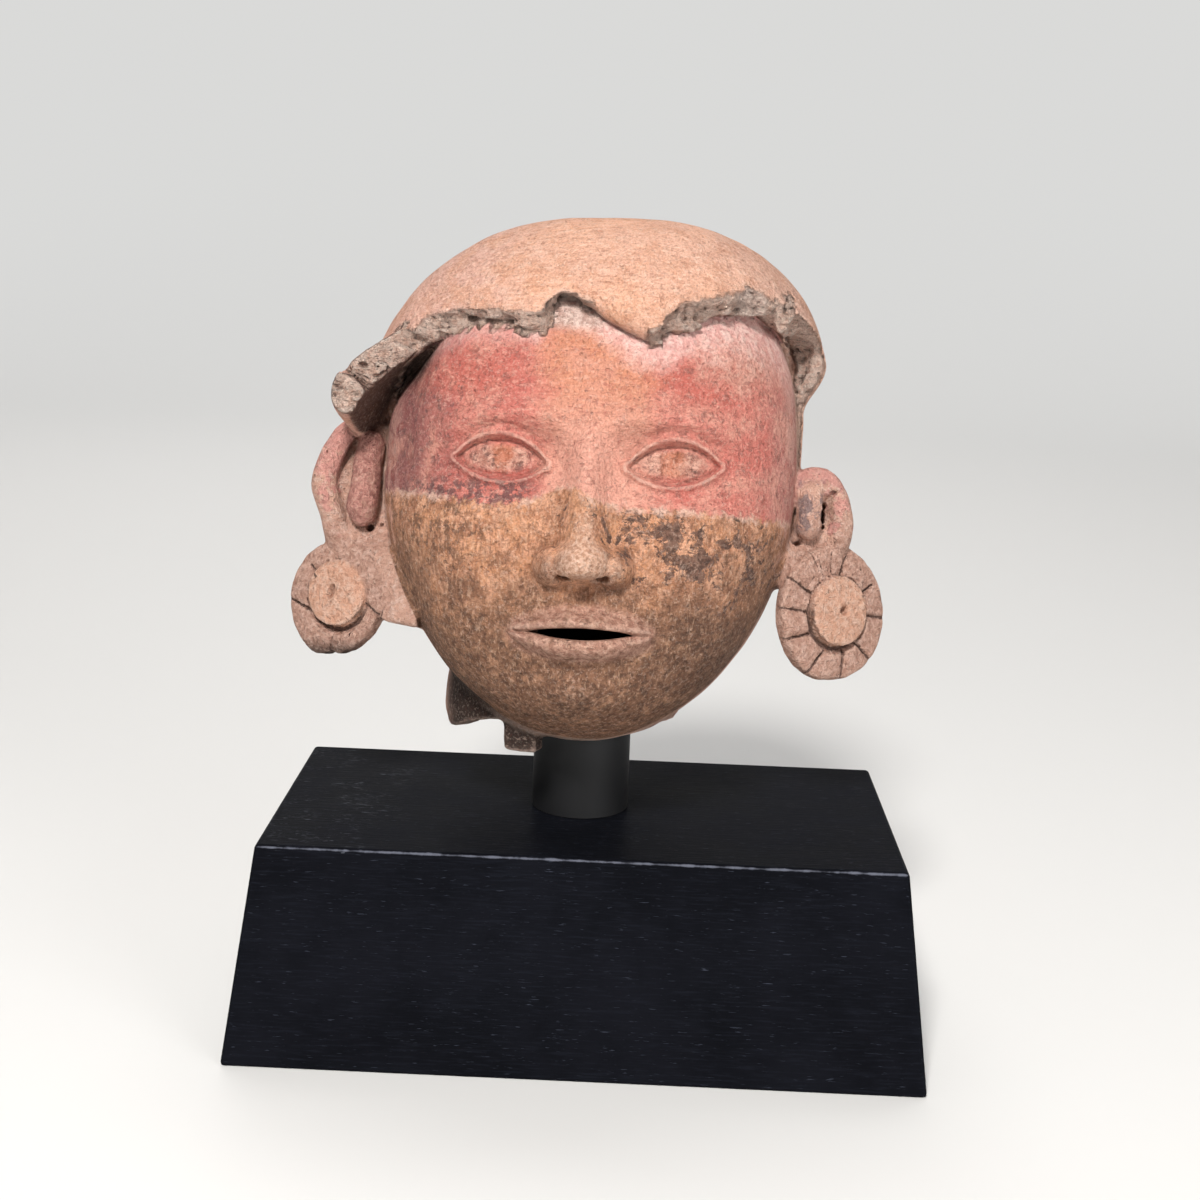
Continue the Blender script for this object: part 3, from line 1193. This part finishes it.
cap_c = m.mix(m.mul(flakes(fine, 0.60, 0.06), 0.50), cap_c, srgb(150, 104, 86))
cap_c = m.mix(m.mul(flakes(grit, 0.62, 0.06), 0.40), cap_c, srgb(236, 208, 192))
cap_c = m.mix(m.ramp(swipe, 0.53, 0.68, 0, 0.55), cap_c, srgb(182, 124, 98))
cap_c = m.mix(m.ramp(swipe, 0.46, 0.34, 0, 0.40), cap_c, srgb(246, 208, 186))

# bare clay of ears, ornaments, neck and the sides
bare_c = m.mix(m.ramp(blotch, 0.36, 0.64), srgb(204, 160, 140), srgb(188, 146, 128))
bare_c = m.mix(m.ramp(grain, 0.46, 0.66, 0, 0.6), bare_c, srgb(218, 188, 174))
bare_c = m.mix(m.mul(flakes(grit, 0.60, 0.06), 0.45), bare_c, srgb(142, 108, 94))
bare_c = m.mix(m.mul(m.attr("boss"), 0.6), bare_c, m.mix(m.ramp(grain, 0.4, 0.6), srgb(206, 152, 122), srgb(214, 172, 148)))
ring_f = m.mul(m.add(m.attr("disc"), m.mul(m.attr("boss"), -1.0)), 0.6)
bare_c = m.mix(ring_f, bare_c, m.mix(m.ramp(grain, 0.4, 0.6), srgb(152, 114, 98), srgb(188, 150, 134)))
neck_f = m.mul(m.mul(m.ramp(z_at, -50.0, -58.0), m.ramp(x_at, 14.0, -4.0)), m.mul(m.ramp(y_at, -44.0, -30.0), m.ramp(m.add(y_at, m.mul(m.add(blotch, -0.5), 16.0)), 20.0, 4.0)))
bare_c = m.mix(m.mul(neck_f, 0.97), bare_c, m.mix(m.ramp(patch, 0.4, 0.6), srgb(24, 18, 16), srgb(44, 33, 28)))
# old pink colour left on the ears
pink_f = m.mul(m.attr("ear"), m.ramp(m.add(patch, m.mul(z_at, 0.008)), 0.42, 0.52, 0, 0.75))
bare_c = m.mix(pink_f, bare_c, srgb(196, 134, 126))
pink_f = m.mul(m.attr("roll"), m.ramp(patch, 0.36, 0.52, 0.35, 0.85))
bare_c = m.mix(pink_f, bare_c, m.mix(m.ramp(grain, 0.4, 0.6), srgb(146, 92, 86), srgb(190, 132, 120)))

blue_f = m.mul(m.mul(near_at(x_at, 67.5, 3.0, 2.0), near_at(z_at, -6.0, 6.5, 3.0)), m.ramp(patch, 0.46, 0.56, 0, 0.75))
bare_c = m.mix(m.mul(blue_f, m.add(1.0, m.mul(m.attr("disc"), -1.0))), bare_c, srgb(104, 92, 96))

# fresh breaks: pale, crumbly, layered, with brown hollows and one smoother grey chip
layers = m.noise(1.7, 4, 0.7, 33.0, (2.6, 1.0, 0.8))
frac_c = m.mix(m.ramp(grain, 0.34, 0.60), srgb(236, 192, 170), srgb(254, 222, 204))
frac_c = m.mix(m.ramp(layers, 0.56, 0.68, 0, 0.45), frac_c, srgb(188, 140, 120))
frac_c = m.mix(m.mul(flakes(fine, 0.56, 0.08), 0.6), frac_c, srgb(250, 226, 210))
frac_c = m.mix(m.ramp(m.noise(2.6, 4, 0.7, 37.0), 0.60, 0.68, 0, 0.7), frac_c, srgb(112, 80, 66))
frac_c = m.mix(m.mul(near_at(x_at, 29.0, 8.0, 3.0), m.ramp(m.attr("ez"), 52.0, 46.0, 0.05, 0.25)), frac_c, m.mix(m.ramp(layers, 0.4, 0.6), srgb(90, 64, 54), srgb(196, 152, 132)))
frac_c = m.mix(m.mul(near_at(x_at, 45.5, 3.5, 2.5), 0.75), frac_c, m.mix(m.ramp(grain, 0.4, 0.6), srgb(222, 192, 178), srgb(246, 222, 208)))
frac_c = m.mix(m.mul(hollow, 0.75), frac_c, srgb(98, 70, 58))
frac_c = m.mix(m.mul(m.mul(sharp, m.attr("frac")), 0.8), frac_c, srgb(255, 234, 220))

# ochre on the cheeks, browner below
ochre_c = m.mix(m.ramp(blotch, 0.36, 0.62), srgb(210, 150, 112), srgb(178, 122, 92))
ochre_c = m.mix(m.ramp(patch, 0.46, 0.60, 0, 0.75), ochre_c, srgb(224, 168, 136))
ochre_c = m.mix(m.ramp(patch, 0.44, 0.34, 0, 0.6), ochre_c, srgb(146, 100, 78))
ochre_c = m.mix(m.mul(m.ramp(m.noise(3.4, 5, 0.74, 95.0), 0.50, 0.58), m.ramp(broad, 0.40, 0.56, 0.30, 0.85)), ochre_c, srgb(122, 86, 66))
ochre_c = m.mix(m.ramp(grain, 0.52, 0.64, 0, 0.45), ochre_c, srgb(126, 88, 70))
ochre_c = m.mix(m.ramp(grain, 0.44, 0.32, 0, 0.45), ochre_c, srgb(228, 182, 152))
lower = m.ramp(m.add(m.mul(z_at, -1.0), m.mul(m.add(blotch, -0.5), 46.0)), 22.0, 48.0)
sides = m.ramp(m.add(m.math("ABSOLUTE", x_at), m.mul(m.add(blotch, -0.5), 30.0)), 30.0, 56.0)
brown_f = m.math("MAXIMUM", m.mul(lower, 0.85), m.mul(m.mul(sides, m.ramp(z_at, -8.0, -34.0)), 0.85))
brown_c = m.mix(m.ramp(grain, 0.40, 0.60), srgb(76, 55, 44), srgb(134, 98, 76))
brown_c = m.mix(m.ramp(patch, 0.54, 0.66, 0, 0.6), brown_c, srgb(188, 140, 108))
face_c = m.mix(brown_f, ochre_c, brown_c)
# fine vertical strokes of dirt in the surface's grain
face_c = m.mix(m.ramp(strokes, 0.54, 0.68, 0, 0.40), face_c, srgb(104, 76, 60))
face_c = m.mix(m.ramp(strokes, 0.44, 0.34, 0, 0.30), face_c, srgb(222, 182, 152))

# black patches, thickest on the viewer's right cheek
dx = m.mul(m.add(x_at, -34.0), 1 / 36.0)
dz = m.mul(m.add(m.add(z_at, 22.0), m.mul(m.add(x_at, -34.0), 0.12)), 1 / 14.0)
dark_near = m.math("SQRT", m.add(m.mul(dx, dx), m.mul(dz, dz)))
dark_level = m.add(m.mul(m.ramp(dark_near, 0.1, 1.9), 0.17), 0.485)
soot = m.noise(6.5, 6, 0.74, 91.0, distort=0.4)
dark = m.ramp(m.add(soot, m.mul(dark_level, -1.0)), 0.0, 0.05)
dx2 = m.mul(m.add(x_at, 38.0), 1 / 18.0)
dz2 = m.mul(m.add(z_at, 24.0), 1 / 18.0)
near2 = m.math("SQRT", m.add(m.mul(dx2, dx2), m.mul(dz2, dz2)))
dark2 = m.ramp(m.add(m.noise(2.4, 4, 0.68, 44.0), m.add(m.mul(m.ramp(near2, 0.2, 1.5), -0.12), -0.57)), 0.0, 0.04)
low_r = m.mul(m.ramp(x_at, 12.0, 42.0), m.ramp(z_at, -30.0, -48.0))
face_c = m.mix(m.mul(low_r, 0.35), face_c, srgb(66, 50, 44))
face_c = m.mix(m.mul(dark2, 0.7), face_c, srgb(104, 76, 64))
face_c = m.mix(m.mul(dark, 0.88), face_c, m.mix(m.ramp(grain, 0.38, 0.62), srgb(62, 48, 46), srgb(120, 92, 80)))

# the red band over the eyes: rubbed, orange in the middle, purplish and dark at the left temple
haze = m.noise(15.0, 5, 0.6, 81.0)
mid_x = m.add(x_at, m.mul(m.add(haze, -0.5), 30.0))
red_c = m.mix(m.ramp(haze, 0.36, 0.62), srgb(204, 116, 104), srgb(212, 140, 124))
red_c = m.mix(near_at(mid_x, 2.0, 9.0, 14.0), red_c, m.mix(m.ramp(z_at, 30.0, 4.0), srgb(212, 142, 112), srgb(224, 162, 142)))
red_c = m.mix(m.ramp(mid_x, -34.0, -56.0, 0, 0.85), red_c, srgb(132, 84, 84))
red_c = m.mix(m.ramp(mid_x, 44.0, 62.0, 0, 0.7), red_c, srgb(176, 120, 112))
arc_x = m.mul(m.add(m.math("ABSOLUTE", m.add(x_at, 1.0)), -34.0), 1 / 19.0)
arc_z = m.mul(m.add(m.add(z_at, m.mul(m.add(haze, -0.5), 16.0)), -26.0), 1 / 8.0)
arc = m.math("SQRT", m.add(m.mul(arc_x, arc_x), m.mul(arc_z, arc_z)))
red_c = m.mix(m.ramp(arc, 1.3, 0.3, 0, 0.5), red_c, srgb(184, 82, 70))
# rubbed thin over the right of the forehead
thin_x, thin_z = m.mul(m.add(x_at, -44.0), 1 / 17.0), m.mul(m.add(z_at, -36.0), 1 / 12.0)
thin = m.math("SQRT", m.add(m.mul(thin_x, thin_x), m.mul(thin_z, thin_z)))
thin_f = m.mul(m.ramp(m.add(thin, m.mul(m.add(haze, -0.5), 2.4)), 1.2, 0.3), m.ramp(patch, 0.40, 0.58, 0.55, 0.80))
red_c = m.mix(thin_f, red_c, m.mix(m.ramp(grain, 0.4, 0.6), srgb(202, 148, 130), srgb(214, 168, 150)))
red_c = m.mix(m.ramp(haze, 0.52, 0.62, 0, 0.45), red_c, srgb(222, 160, 140))
red_c = m.mix(m.mul(m.ramp(m.noise(3.2, 5, 0.74, 57.0), 0.54, 0.62), m.ramp(m.math("ABSOLUTE", x_at), 10.0, 26.0, 0.15, 0.6)), red_c, srgb(136, 88, 80))
red_c = m.mix(m.ramp(patch, 0.44, 0.32, 0, 0.50), red_c, srgb(164, 84, 74))
red_c = m.mix(m.ramp(swipe, 0.52, 0.68, 0, 0.38), red_c, srgb(234, 180, 160))
red_c = m.mix(m.ramp(swipe, 0.46, 0.34, 0, 0.40), red_c, srgb(158, 84, 74))
red_c = m.mix(m.ramp(grain, 0.45, 0.30, 0, 0.40), red_c, srgb(150, 82, 72))
low_l = m.mul(near_at(x_at, -34.0, 14.0, 10.0), near_at(z_at, -8.5, 2.5, 4.0))
red_c = m.mix(m.mul(low_l, m.ramp(m.noise(2.2, 4, 0.7, 58.0), 0.44, 0.54, 0, 0.8)), red_c, srgb(98, 72, 72))
red_c = m.mix(m.mul(flakes(fine, 0.60, 0.07), 0.20), red_c, srgb(140, 88, 78))
red_c = m.mix(m.ramp(strokes, 0.56, 0.70, 0, 0.35), red_c, srgb(150, 96, 86))
spots = m.noise(3.0, 5, 0.7, 51.0)
shade = m.add(spots, m.mul(m.attr("eye"), 0.07))
shade = m.add(shade, m.mul(m.ramp(x_at, -22.0, -50.0), 0.07))
red_c = m.mix(m.ramp(shade, 0.60, 0.72, 0, 0.7), red_c, srgb(104, 74, 72))
eye_c = m.mix(m.ramp(grain, 0.38, 0.62), srgb(160, 112, 96), srgb(218, 174, 154))
eye_c = m.mix(m.ramp(spots, 0.50, 0.60, 0, 0.85), eye_c, srgb(88, 66, 60))
eye_c = m.mix(m.mul(near_at(m.math("ABSOLUTE", x_at), 24.5, 1.6, 3.0), m.ramp(patch, 0.40, 0.56, 0, 0.7)), eye_c, srgb(190, 112, 76))
red_c = m.mix(m.ramp(m.attr("eye"), 0.30, 0.70, 0, 0.8), red_c, eye_c)
edge = m.add(m.attr("red"), m.mul(m.add(grain, -0.5), 7.0))
red_f = m.ramp(edge, -0.6, 1.0)
face_c = m.mix(red_f, face_c, red_c)
# whitish line where the red has flaked along its lower edge
line_f = m.mul(m.ramp(m.math("ABSOLUTE", m.add(edge, 0.2)), 1.7, 0.2), m.ramp(m.noise(6.0, 5, 0.65, 61.0), 0.42, 0.60))
face_c = m.mix(m.mul(line_f, 0.7), face_c, srgb(228, 190, 172))
# pale pink band under the brim, scar, rubbed outer edge of the face
pale_f = m.ramp(m.add(m.attr("pale"), m.mul(m.add(patch, -0.5), 1.5)), -1.0, 0.8)
face_c = m.mix(m.mul(pale_f, m.ramp(x_at, -26.0, -8.0, 0.40, 0.85)), face_c, m.mix(m.ramp(grain, 0.40, 0.64), srgb(226, 174, 166), srgb(244, 212, 202)))
scar_c = m.mix(m.ramp(grain, 0.40, 0.60), srgb(178, 146, 134), srgb(222, 196, 184))
scar_c = m.mix(m.mul(flakes(fine, 0.60, 0.05), 0.6), scar_c, srgb(128, 100, 90))
face_c = m.mix(m.mul(m.attr("scar"), 0.92), face_c, scar_c)
rim_f = m.mul(m.attr("rim"), m.ramp(m.add(patch, m.mul(z_at, 0.002)), 0.44, 0.56, 0, 0.7))
face_c = m.mix(rim_f, face_c, srgb(206, 158, 144))
# nose ridge and other high places rubbed pale, lips pinkish
high = m.ramp(m.add(m.attr("high"), m.mul(m.add(grain, -0.5), 0.7)), 0.55, 1.05)
face_c = m.mix(m.mul(high, 0.7), face_c, m.mix(m.ramp(fine, 0.4, 0.6), srgb(198, 152, 126), srgb(226, 190, 168)))
lip_c = m.mix(m.ramp(grain, 0.40, 0.62), srgb(170, 122, 104), srgb(208, 164, 144))
face_c = m.mix(m.mul(m.attr("lip"), m.ramp(patch, 0.36, 0.56, 0.35, 0.85)), face_c, lip_c)

col = bare_c
col = m.mix(m.ramp(m.attr("face"), 0.3, 0.7), col, face_c)
col = m.mix(m.attr("capm"), col, cap_c)
col = m.mix(m.mul(m.attr("hood"), 0.9), col, m.mix(m.ramp(grain, 0.4, 0.62), srgb(42, 30, 27), srgb(74, 54, 46)))
col = m.mix(m.attr("frac"), col, frac_c)
col = m.mix(m.attr("inner"), col, m.mix(m.ramp(blotch, 0.35, 0.65), srgb(150, 116, 98), srgb(128, 98, 84)))
# gritty clay: dark grains and pale ones all over
speck = m.add(m.mul(fine, 0.6), m.mul(grit, 0.4))
calm = m.add(1.0, m.mul(m.mul(m.attr("face"), red_f), -0.55))
col = m.mix(m.mul(m.ramp(speck, 0.50, 0.38, 0, 0.52), calm), col, m.mix(0.50, col, srgb(100, 66, 54)))
col = m.mix(m.ramp(speck, 0.51, 0.62, 0, 0.60), col, m.mix(0.30, col, srgb(255, 222, 202)))
# dirt in hollows, pale wear on sharp edges
col = m.mix(m.mul(hollow, 0.55), col, m.mix(0.55, col, srgb(84, 60, 50)))
col = m.mix(m.mul(sharp, 0.35), col, srgb(226, 194, 176))


def ray_lines(tag, disc):
    """Dark lines along an ornament's cut rays and under its boss."""
    u, w = m.attr("u" + tag), m.attr("w" + tag)
    best = None
    for k, (u0, w0, u1, w1) in enumerate(disc["rays"] + disc["fine"]):
        du, dw = u1 - u0, w1 - w0
        L = math.hypot(du, dw)
        du, dw = du / L, dw / L
        beyond = 3.0 if math.hypot(u0, w0) > disc["r"] - 3 else 0.0
        faint = 0.28 if k >= len(disc["rays"]) else 0.0
        across = m.math("ABSOLUTE", m.add(m.add(m.mul(u, dw), m.mul(w, -du)), w0 * du - u0 * dw))
        along = m.add(m.add(m.mul(u, du), m.mul(w, dw)), -(u0 * du + w0 * dw))
        far = m.add(m.math("ABSOLUTE", m.add(along, -(L - beyond) / 2)), -(L + beyond) / 2)
        d = m.add(m.math("MAXIMUM", across, far), faint)
        best = d if best is None else m.math("MINIMUM", best, d)
    r = m.math("SQRT", m.add(m.mul(u, u), m.mul(w, w)))
    line = m.ramp(m.add(best, m.mul(m.add(fine, -0.5), 1.3)), 0.50, 0.05)
    under = m.ramp(m.add(w, m.mul(u, 0.3)), 1.0, -6.0)
    foot = m.math("ABSOLUTE", m.add(r, -(disc["boss"] + 0.35)))
    foot = m.mul(m.ramp(m.add(foot, m.mul(m.add(fine, -0.5), 1.2)), 0.95, 0.15), under)
    return m.mul(m.math("MAXIMUM", m.mul(line, 0.9), foot), m.attr("cuts"))


left_near = m.ramp(x_at, 0.0, -1.0)
marks = m.add(m.mul(ray_lines("l", DISCS[0]), left_near), m.mul(ray_lines("r", DISCS[1]), m.ramp(x_at, 0.0, 1.0)))
col = m.mix(m.mul(marks, 0.8), col, srgb(66, 46, 40))
m.put(m.bsdf.inputs["Base Color"], col)
m.bsdf.inputs["Roughness"].default_value = 0.84
m.bsdf.inputs["Specular IOR Level"].default_value = 0.25
pits = m.voronoi(3.4, 6.0)
pit_f = m.mul(m.ramp(pits, 0.16, 0.07), m.ramp(blotch, 0.42, 0.55))
rough_f = m.add(1.0, m.mul(m.attr("frac"), 0.8))
b = m.bump(m.mul(grit, rough_f), 0.45)
b = m.bump(m.mul(fine, rough_f), 1.0, b)
b = m.bump(m.mul(grain, rough_f), 1.5, b)
b = m.bump(strokes, 0.30, b)
b = m.bump(patch, 0.8, b)
b = m.bump(pit_f, -0.4, b)
b = m.bump(m.mul(m.attr("frac"), m.add(layers, patch)), 4.4, b)
b = m.bump(marks, -0.6, b)
m.put(m.bsdf.inputs["Normal"], b)
clay = m.mat

# satin black paint over open-grained wood
m = Nodes("black_wood_satin")
pore = m.noise(1.0, 2, 0.5, 3.0, (3.6, 0.42, 0.42))
pore_f = m.mul(m.ramp(pore, 0.655, 0.74), m.ramp(m.noise(12.0, 3, 0.6, 17.0), 0.36, 0.62, 0.35, 1.0))
fibre = m.noise(1.0, 3, 0.6, 4.0, (9.0, 0.6, 0.6))
cloud = m.noise(34.0, 4, 0.6, 8.0)
wood = m.mix(m.ramp(cloud, 0.35, 0.65), srgb(14, 15, 19), srgb(19, 20, 25))
wood = m.mix(m.ramp(fibre, 0.48, 0.72, 0, 0.5), wood, srgb(27, 29, 36))
wood = m.mix(m.mul(pore_f, 0.6), wood, srgb(66, 70, 82))
split = m.t.nodes.new("ShaderNodeSeparateXYZ")
m.t.links.new(m.tc.outputs["Object"], split.inputs[0])
across = m.add(m.mul(split.outputs[1], 1000.0), BASE_TOP[1] / 2 + 0.1)
upward = m.add(m.mul(split.outputs[2], 1000.0), -BASE_H + 0.4)
arris = m.math("SQRT", m.add(m.mul(across, across), m.mul(upward, upward)))
worn = m.ramp(m.add(arris, m.mul(m.add(m.noise(5.0, 4, 0.6, 29.0), -0.5), 1.2)), 0.62, 0.20)
wood = m.mix(m.mul(worn, 0.6), wood, srgb(118, 121, 134))
# a few pale rubs on the top's left end
rub = m.noise(1.0, 2, 0.5, 71.0, (3.0, 0.5, 1.0), (0.0, 0.0, 0.5))
on_top = m.mul(m.ramp(upward, -1.4, -0.6), m.ramp(split.outputs[0], -0.05, -0.07))
rub = m.mul(m.mul(m.ramp(rub, 0.62, 0.68), on_top), m.ramp(m.noise(16.0, 2, 0.5, 73.0), 0.46, 0.56))
wood = m.mix(m.mul(rub, 0.32), wood, srgb(120, 124, 134))
m.put(m.bsdf.inputs["Base Color"], wood)
m.put(m.bsdf.inputs["Roughness"], m.ramp(cloud, 0.3, 0.7, 0.40, 0.50))
m.bsdf.inputs["Specular IOR Level"].default_value = 0.01
m.put(m.bsdf.inputs["Normal"], m.bump(fibre, 0.10, m.bump(pore_f, -0.12)))
wood_m = m.mat

m = Nodes("post_matt_black")
m.bsdf.inputs["Base Color"].default_value = srgb(16, 16, 18)
m.bsdf.inputs["Roughness"].default_value = 0.6
post_m = m.mat

head.data.materials.append(clay)
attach(head, "root")
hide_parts("pottery_head")

# ------------------------------------------------------------------ block and post


def block_mesh():
    (bx, by), (tx, ty) = BASE_BOTTOM, BASE_TOP
    v = [
        (sx * w / 2, sy * d / 2, z)
        for z, w, d in ((0.0, bx, by), (BASE_H, tx, ty))
        for sx, sy in ((-1, -1), (1, -1), (1, 1), (-1, 1))
    ]
    f = [(3, 2, 1, 0), (4, 5, 6, 7), (0, 1, 5, 4), (1, 2, 6, 5), (2, 3, 7, 6), (3, 0, 4, 7)]
    block = bpy.data.meshes.new("display_base_fine")
    block.from_pydata([tuple(c / 1000 for c in p) for p in v], [], f)
    return block


base = put("display_base_fine", block_mesh())
bev = base.modifiers.new("b", "BEVEL")
bev.width = 0.0013
bev.segments = 3
bev.limit_method = "ANGLE"
bev.harden_normals = True
base.data.shade_smooth()
apply_modifiers(base)
base.data.materials.append(wood_m)
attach(base, "root")
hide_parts("display_base")


def post_mesh():
    prof = [(POST_R, POST_FOOT), (POST_R, POST_TOP - 5), (POST_R - 2.5, POST_TOP - 2), (POST_R - 7, POST_TOP - 0.5)]
    n = 96
    v = [
        ((POST_X + r * math.cos(2 * math.pi * k / n)) / 1000, r * math.sin(2 * math.pi * k / n) / 1000, z / 1000)
        for r, z in prof
        for k in range(n)
    ]
    v += [(POST_X / 1000, 0.0, POST_FOOT / 1000), (POST_X / 1000, 0.0, POST_TOP / 1000)]
    f = []
    for k in range(n):
        j = (k + 1) % n
        f += [(a * n + k, a * n + j, a * n + n + j, a * n + n + k) for a in range(len(prof) - 1)]
        f += [(len(v) - 2, j, k), (len(v) - 1, 3 * n + k, 3 * n + j)]
    shaft = bpy.data.meshes.new("mount_post_fine")
    shaft.from_pydata(v, [], f)
    return shaft


post = put("mount_post_fine", post_mesh())
post.data.shade_smooth()
post.data.set_sharp_from_angle(angle=math.radians(50))
post.data.materials.append(post_m)
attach(post, "root")
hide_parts("mount_post")

# ------------------------------------------------------------------ floor and light


def sweep_floor():
    prof = [(-3.0, 0.0), (1.6, 0.0)]
    prof += [(1.6 + 1.2 * math.sin(a), 1.2 - 1.2 * math.cos(a)) for a in np.linspace(0.1, math.pi / 2, 14)]
    prof += [(2.8, 5.0)]
    v, f = [], []
    for y, z in prof:
        v += [(-5.0, y, z), (5.0, y, z)]
    for k in range(len(prof) - 1):
        f.append((2 * k, 2 * k + 1, 2 * k + 3, 2 * k + 2))
    sheet = bpy.data.meshes.new("floor")
    sheet.from_pydata(v, [], f)
    sheet.shade_smooth()
    return sheet


SURROUND = (0.70, 0.70, 0.69)

floor = put("floor", sweep_floor())
fm = Nodes("floor_pale")
fm.bsdf.inputs["Base Color"].default_value = (0.74, 0.73, 0.71, 1)
fm.bsdf.inputs["Roughness"].default_value = 0.9
# far off, the floor runs evenly into the pale surroundings
away = fm.t.nodes.new("ShaderNodeVectorMath")
away.operation = "LENGTH"
fm.t.links.new(fm.tc.outputs["Object"], away.inputs[0])
seen_by = fm.t.nodes.new("ShaderNodeLightPath")
even = fm.t.nodes.new("ShaderNodeEmission")
even.inputs[0].default_value = (*SURROUND, 1)
even.inputs[1].default_value = 1.0
blend = fm.t.nodes.new("ShaderNodeMixShader")
far_f = fm.mul(fm.ramp(away.outputs["Value"], 0.9, 2.6), seen_by.outputs["Is Camera Ray"])
fm.t.links.new(far_f, blend.inputs[0])
fm.t.links.new(fm.bsdf.outputs[0], blend.inputs[1])
fm.t.links.new(even.outputs[0], blend.inputs[2])
fm.t.links.new(blend.outputs[0], fm.out.inputs[0])
floor.data.materials.append(fm.mat)


def area(name, at, aim, size, watts, tint=(1, 1, 1)):
    lamp = bpy.data.lights.new(name, "AREA")
    lamp.shape = "DISK"
    lamp.size = size
    lamp.energy = watts
    lamp.color = tint
    ob = bpy.data.objects.new(name, lamp)
    bpy.context.scene.collection.objects.link(ob)
    ob.location = at
    ob.rotation_mode = "QUATERNION"
    ob.rotation_quaternion = (Vector(aim) - Vector(at)).to_track_quat("-Z", "Y")
    return ob


AIM = (0.0, 0.0, 0.16)
area("key", (-0.20, -1.08, 1.12), AIM, 0.28, 25.0, (1.0, 0.985, 0.965))
area("fill", (1.2, -1.3, 0.55), AIM, 1.0, 11.0)
area("back", (-0.4, 1.4, 1.3), AIM, 1.0, 4.0)
area("wall", (0.0, 0.9, 2.6), (0.0, 2.6, 0.9), 1.6, 32.0)

world_bg = bpy.data.worlds.new("studio")
bpy.context.scene.world = world_bg
world_bg.use_nodes = True
wt = world_bg.node_tree
wt.nodes.clear()
soft, seen, pick, path, world_out = (
    wt.nodes.new("ShaderNode" + kind)
    for kind in ("Background", "Background", "MixShader", "LightPath", "OutputWorld")
)
soft.inputs[0].default_value = (0.95, 0.96, 1.0, 1)
soft.inputs[1].default_value = 0.22
seen.inputs[0].default_value = (*SURROUND, 1)
seen.inputs[1].default_value = 1.0
wt.links.new(path.outputs["Is Camera Ray"], pick.inputs[0])
wt.links.new(soft.outputs[0], pick.inputs[1])
wt.links.new(seen.outputs[0], pick.inputs[2])
wt.links.new(pick.outputs[0], world_out.inputs[0])

scene = bpy.context.scene
scene.view_settings.view_transform = "Standard"
scene.view_settings.look = "None"
scene.view_settings.exposure = 0.0
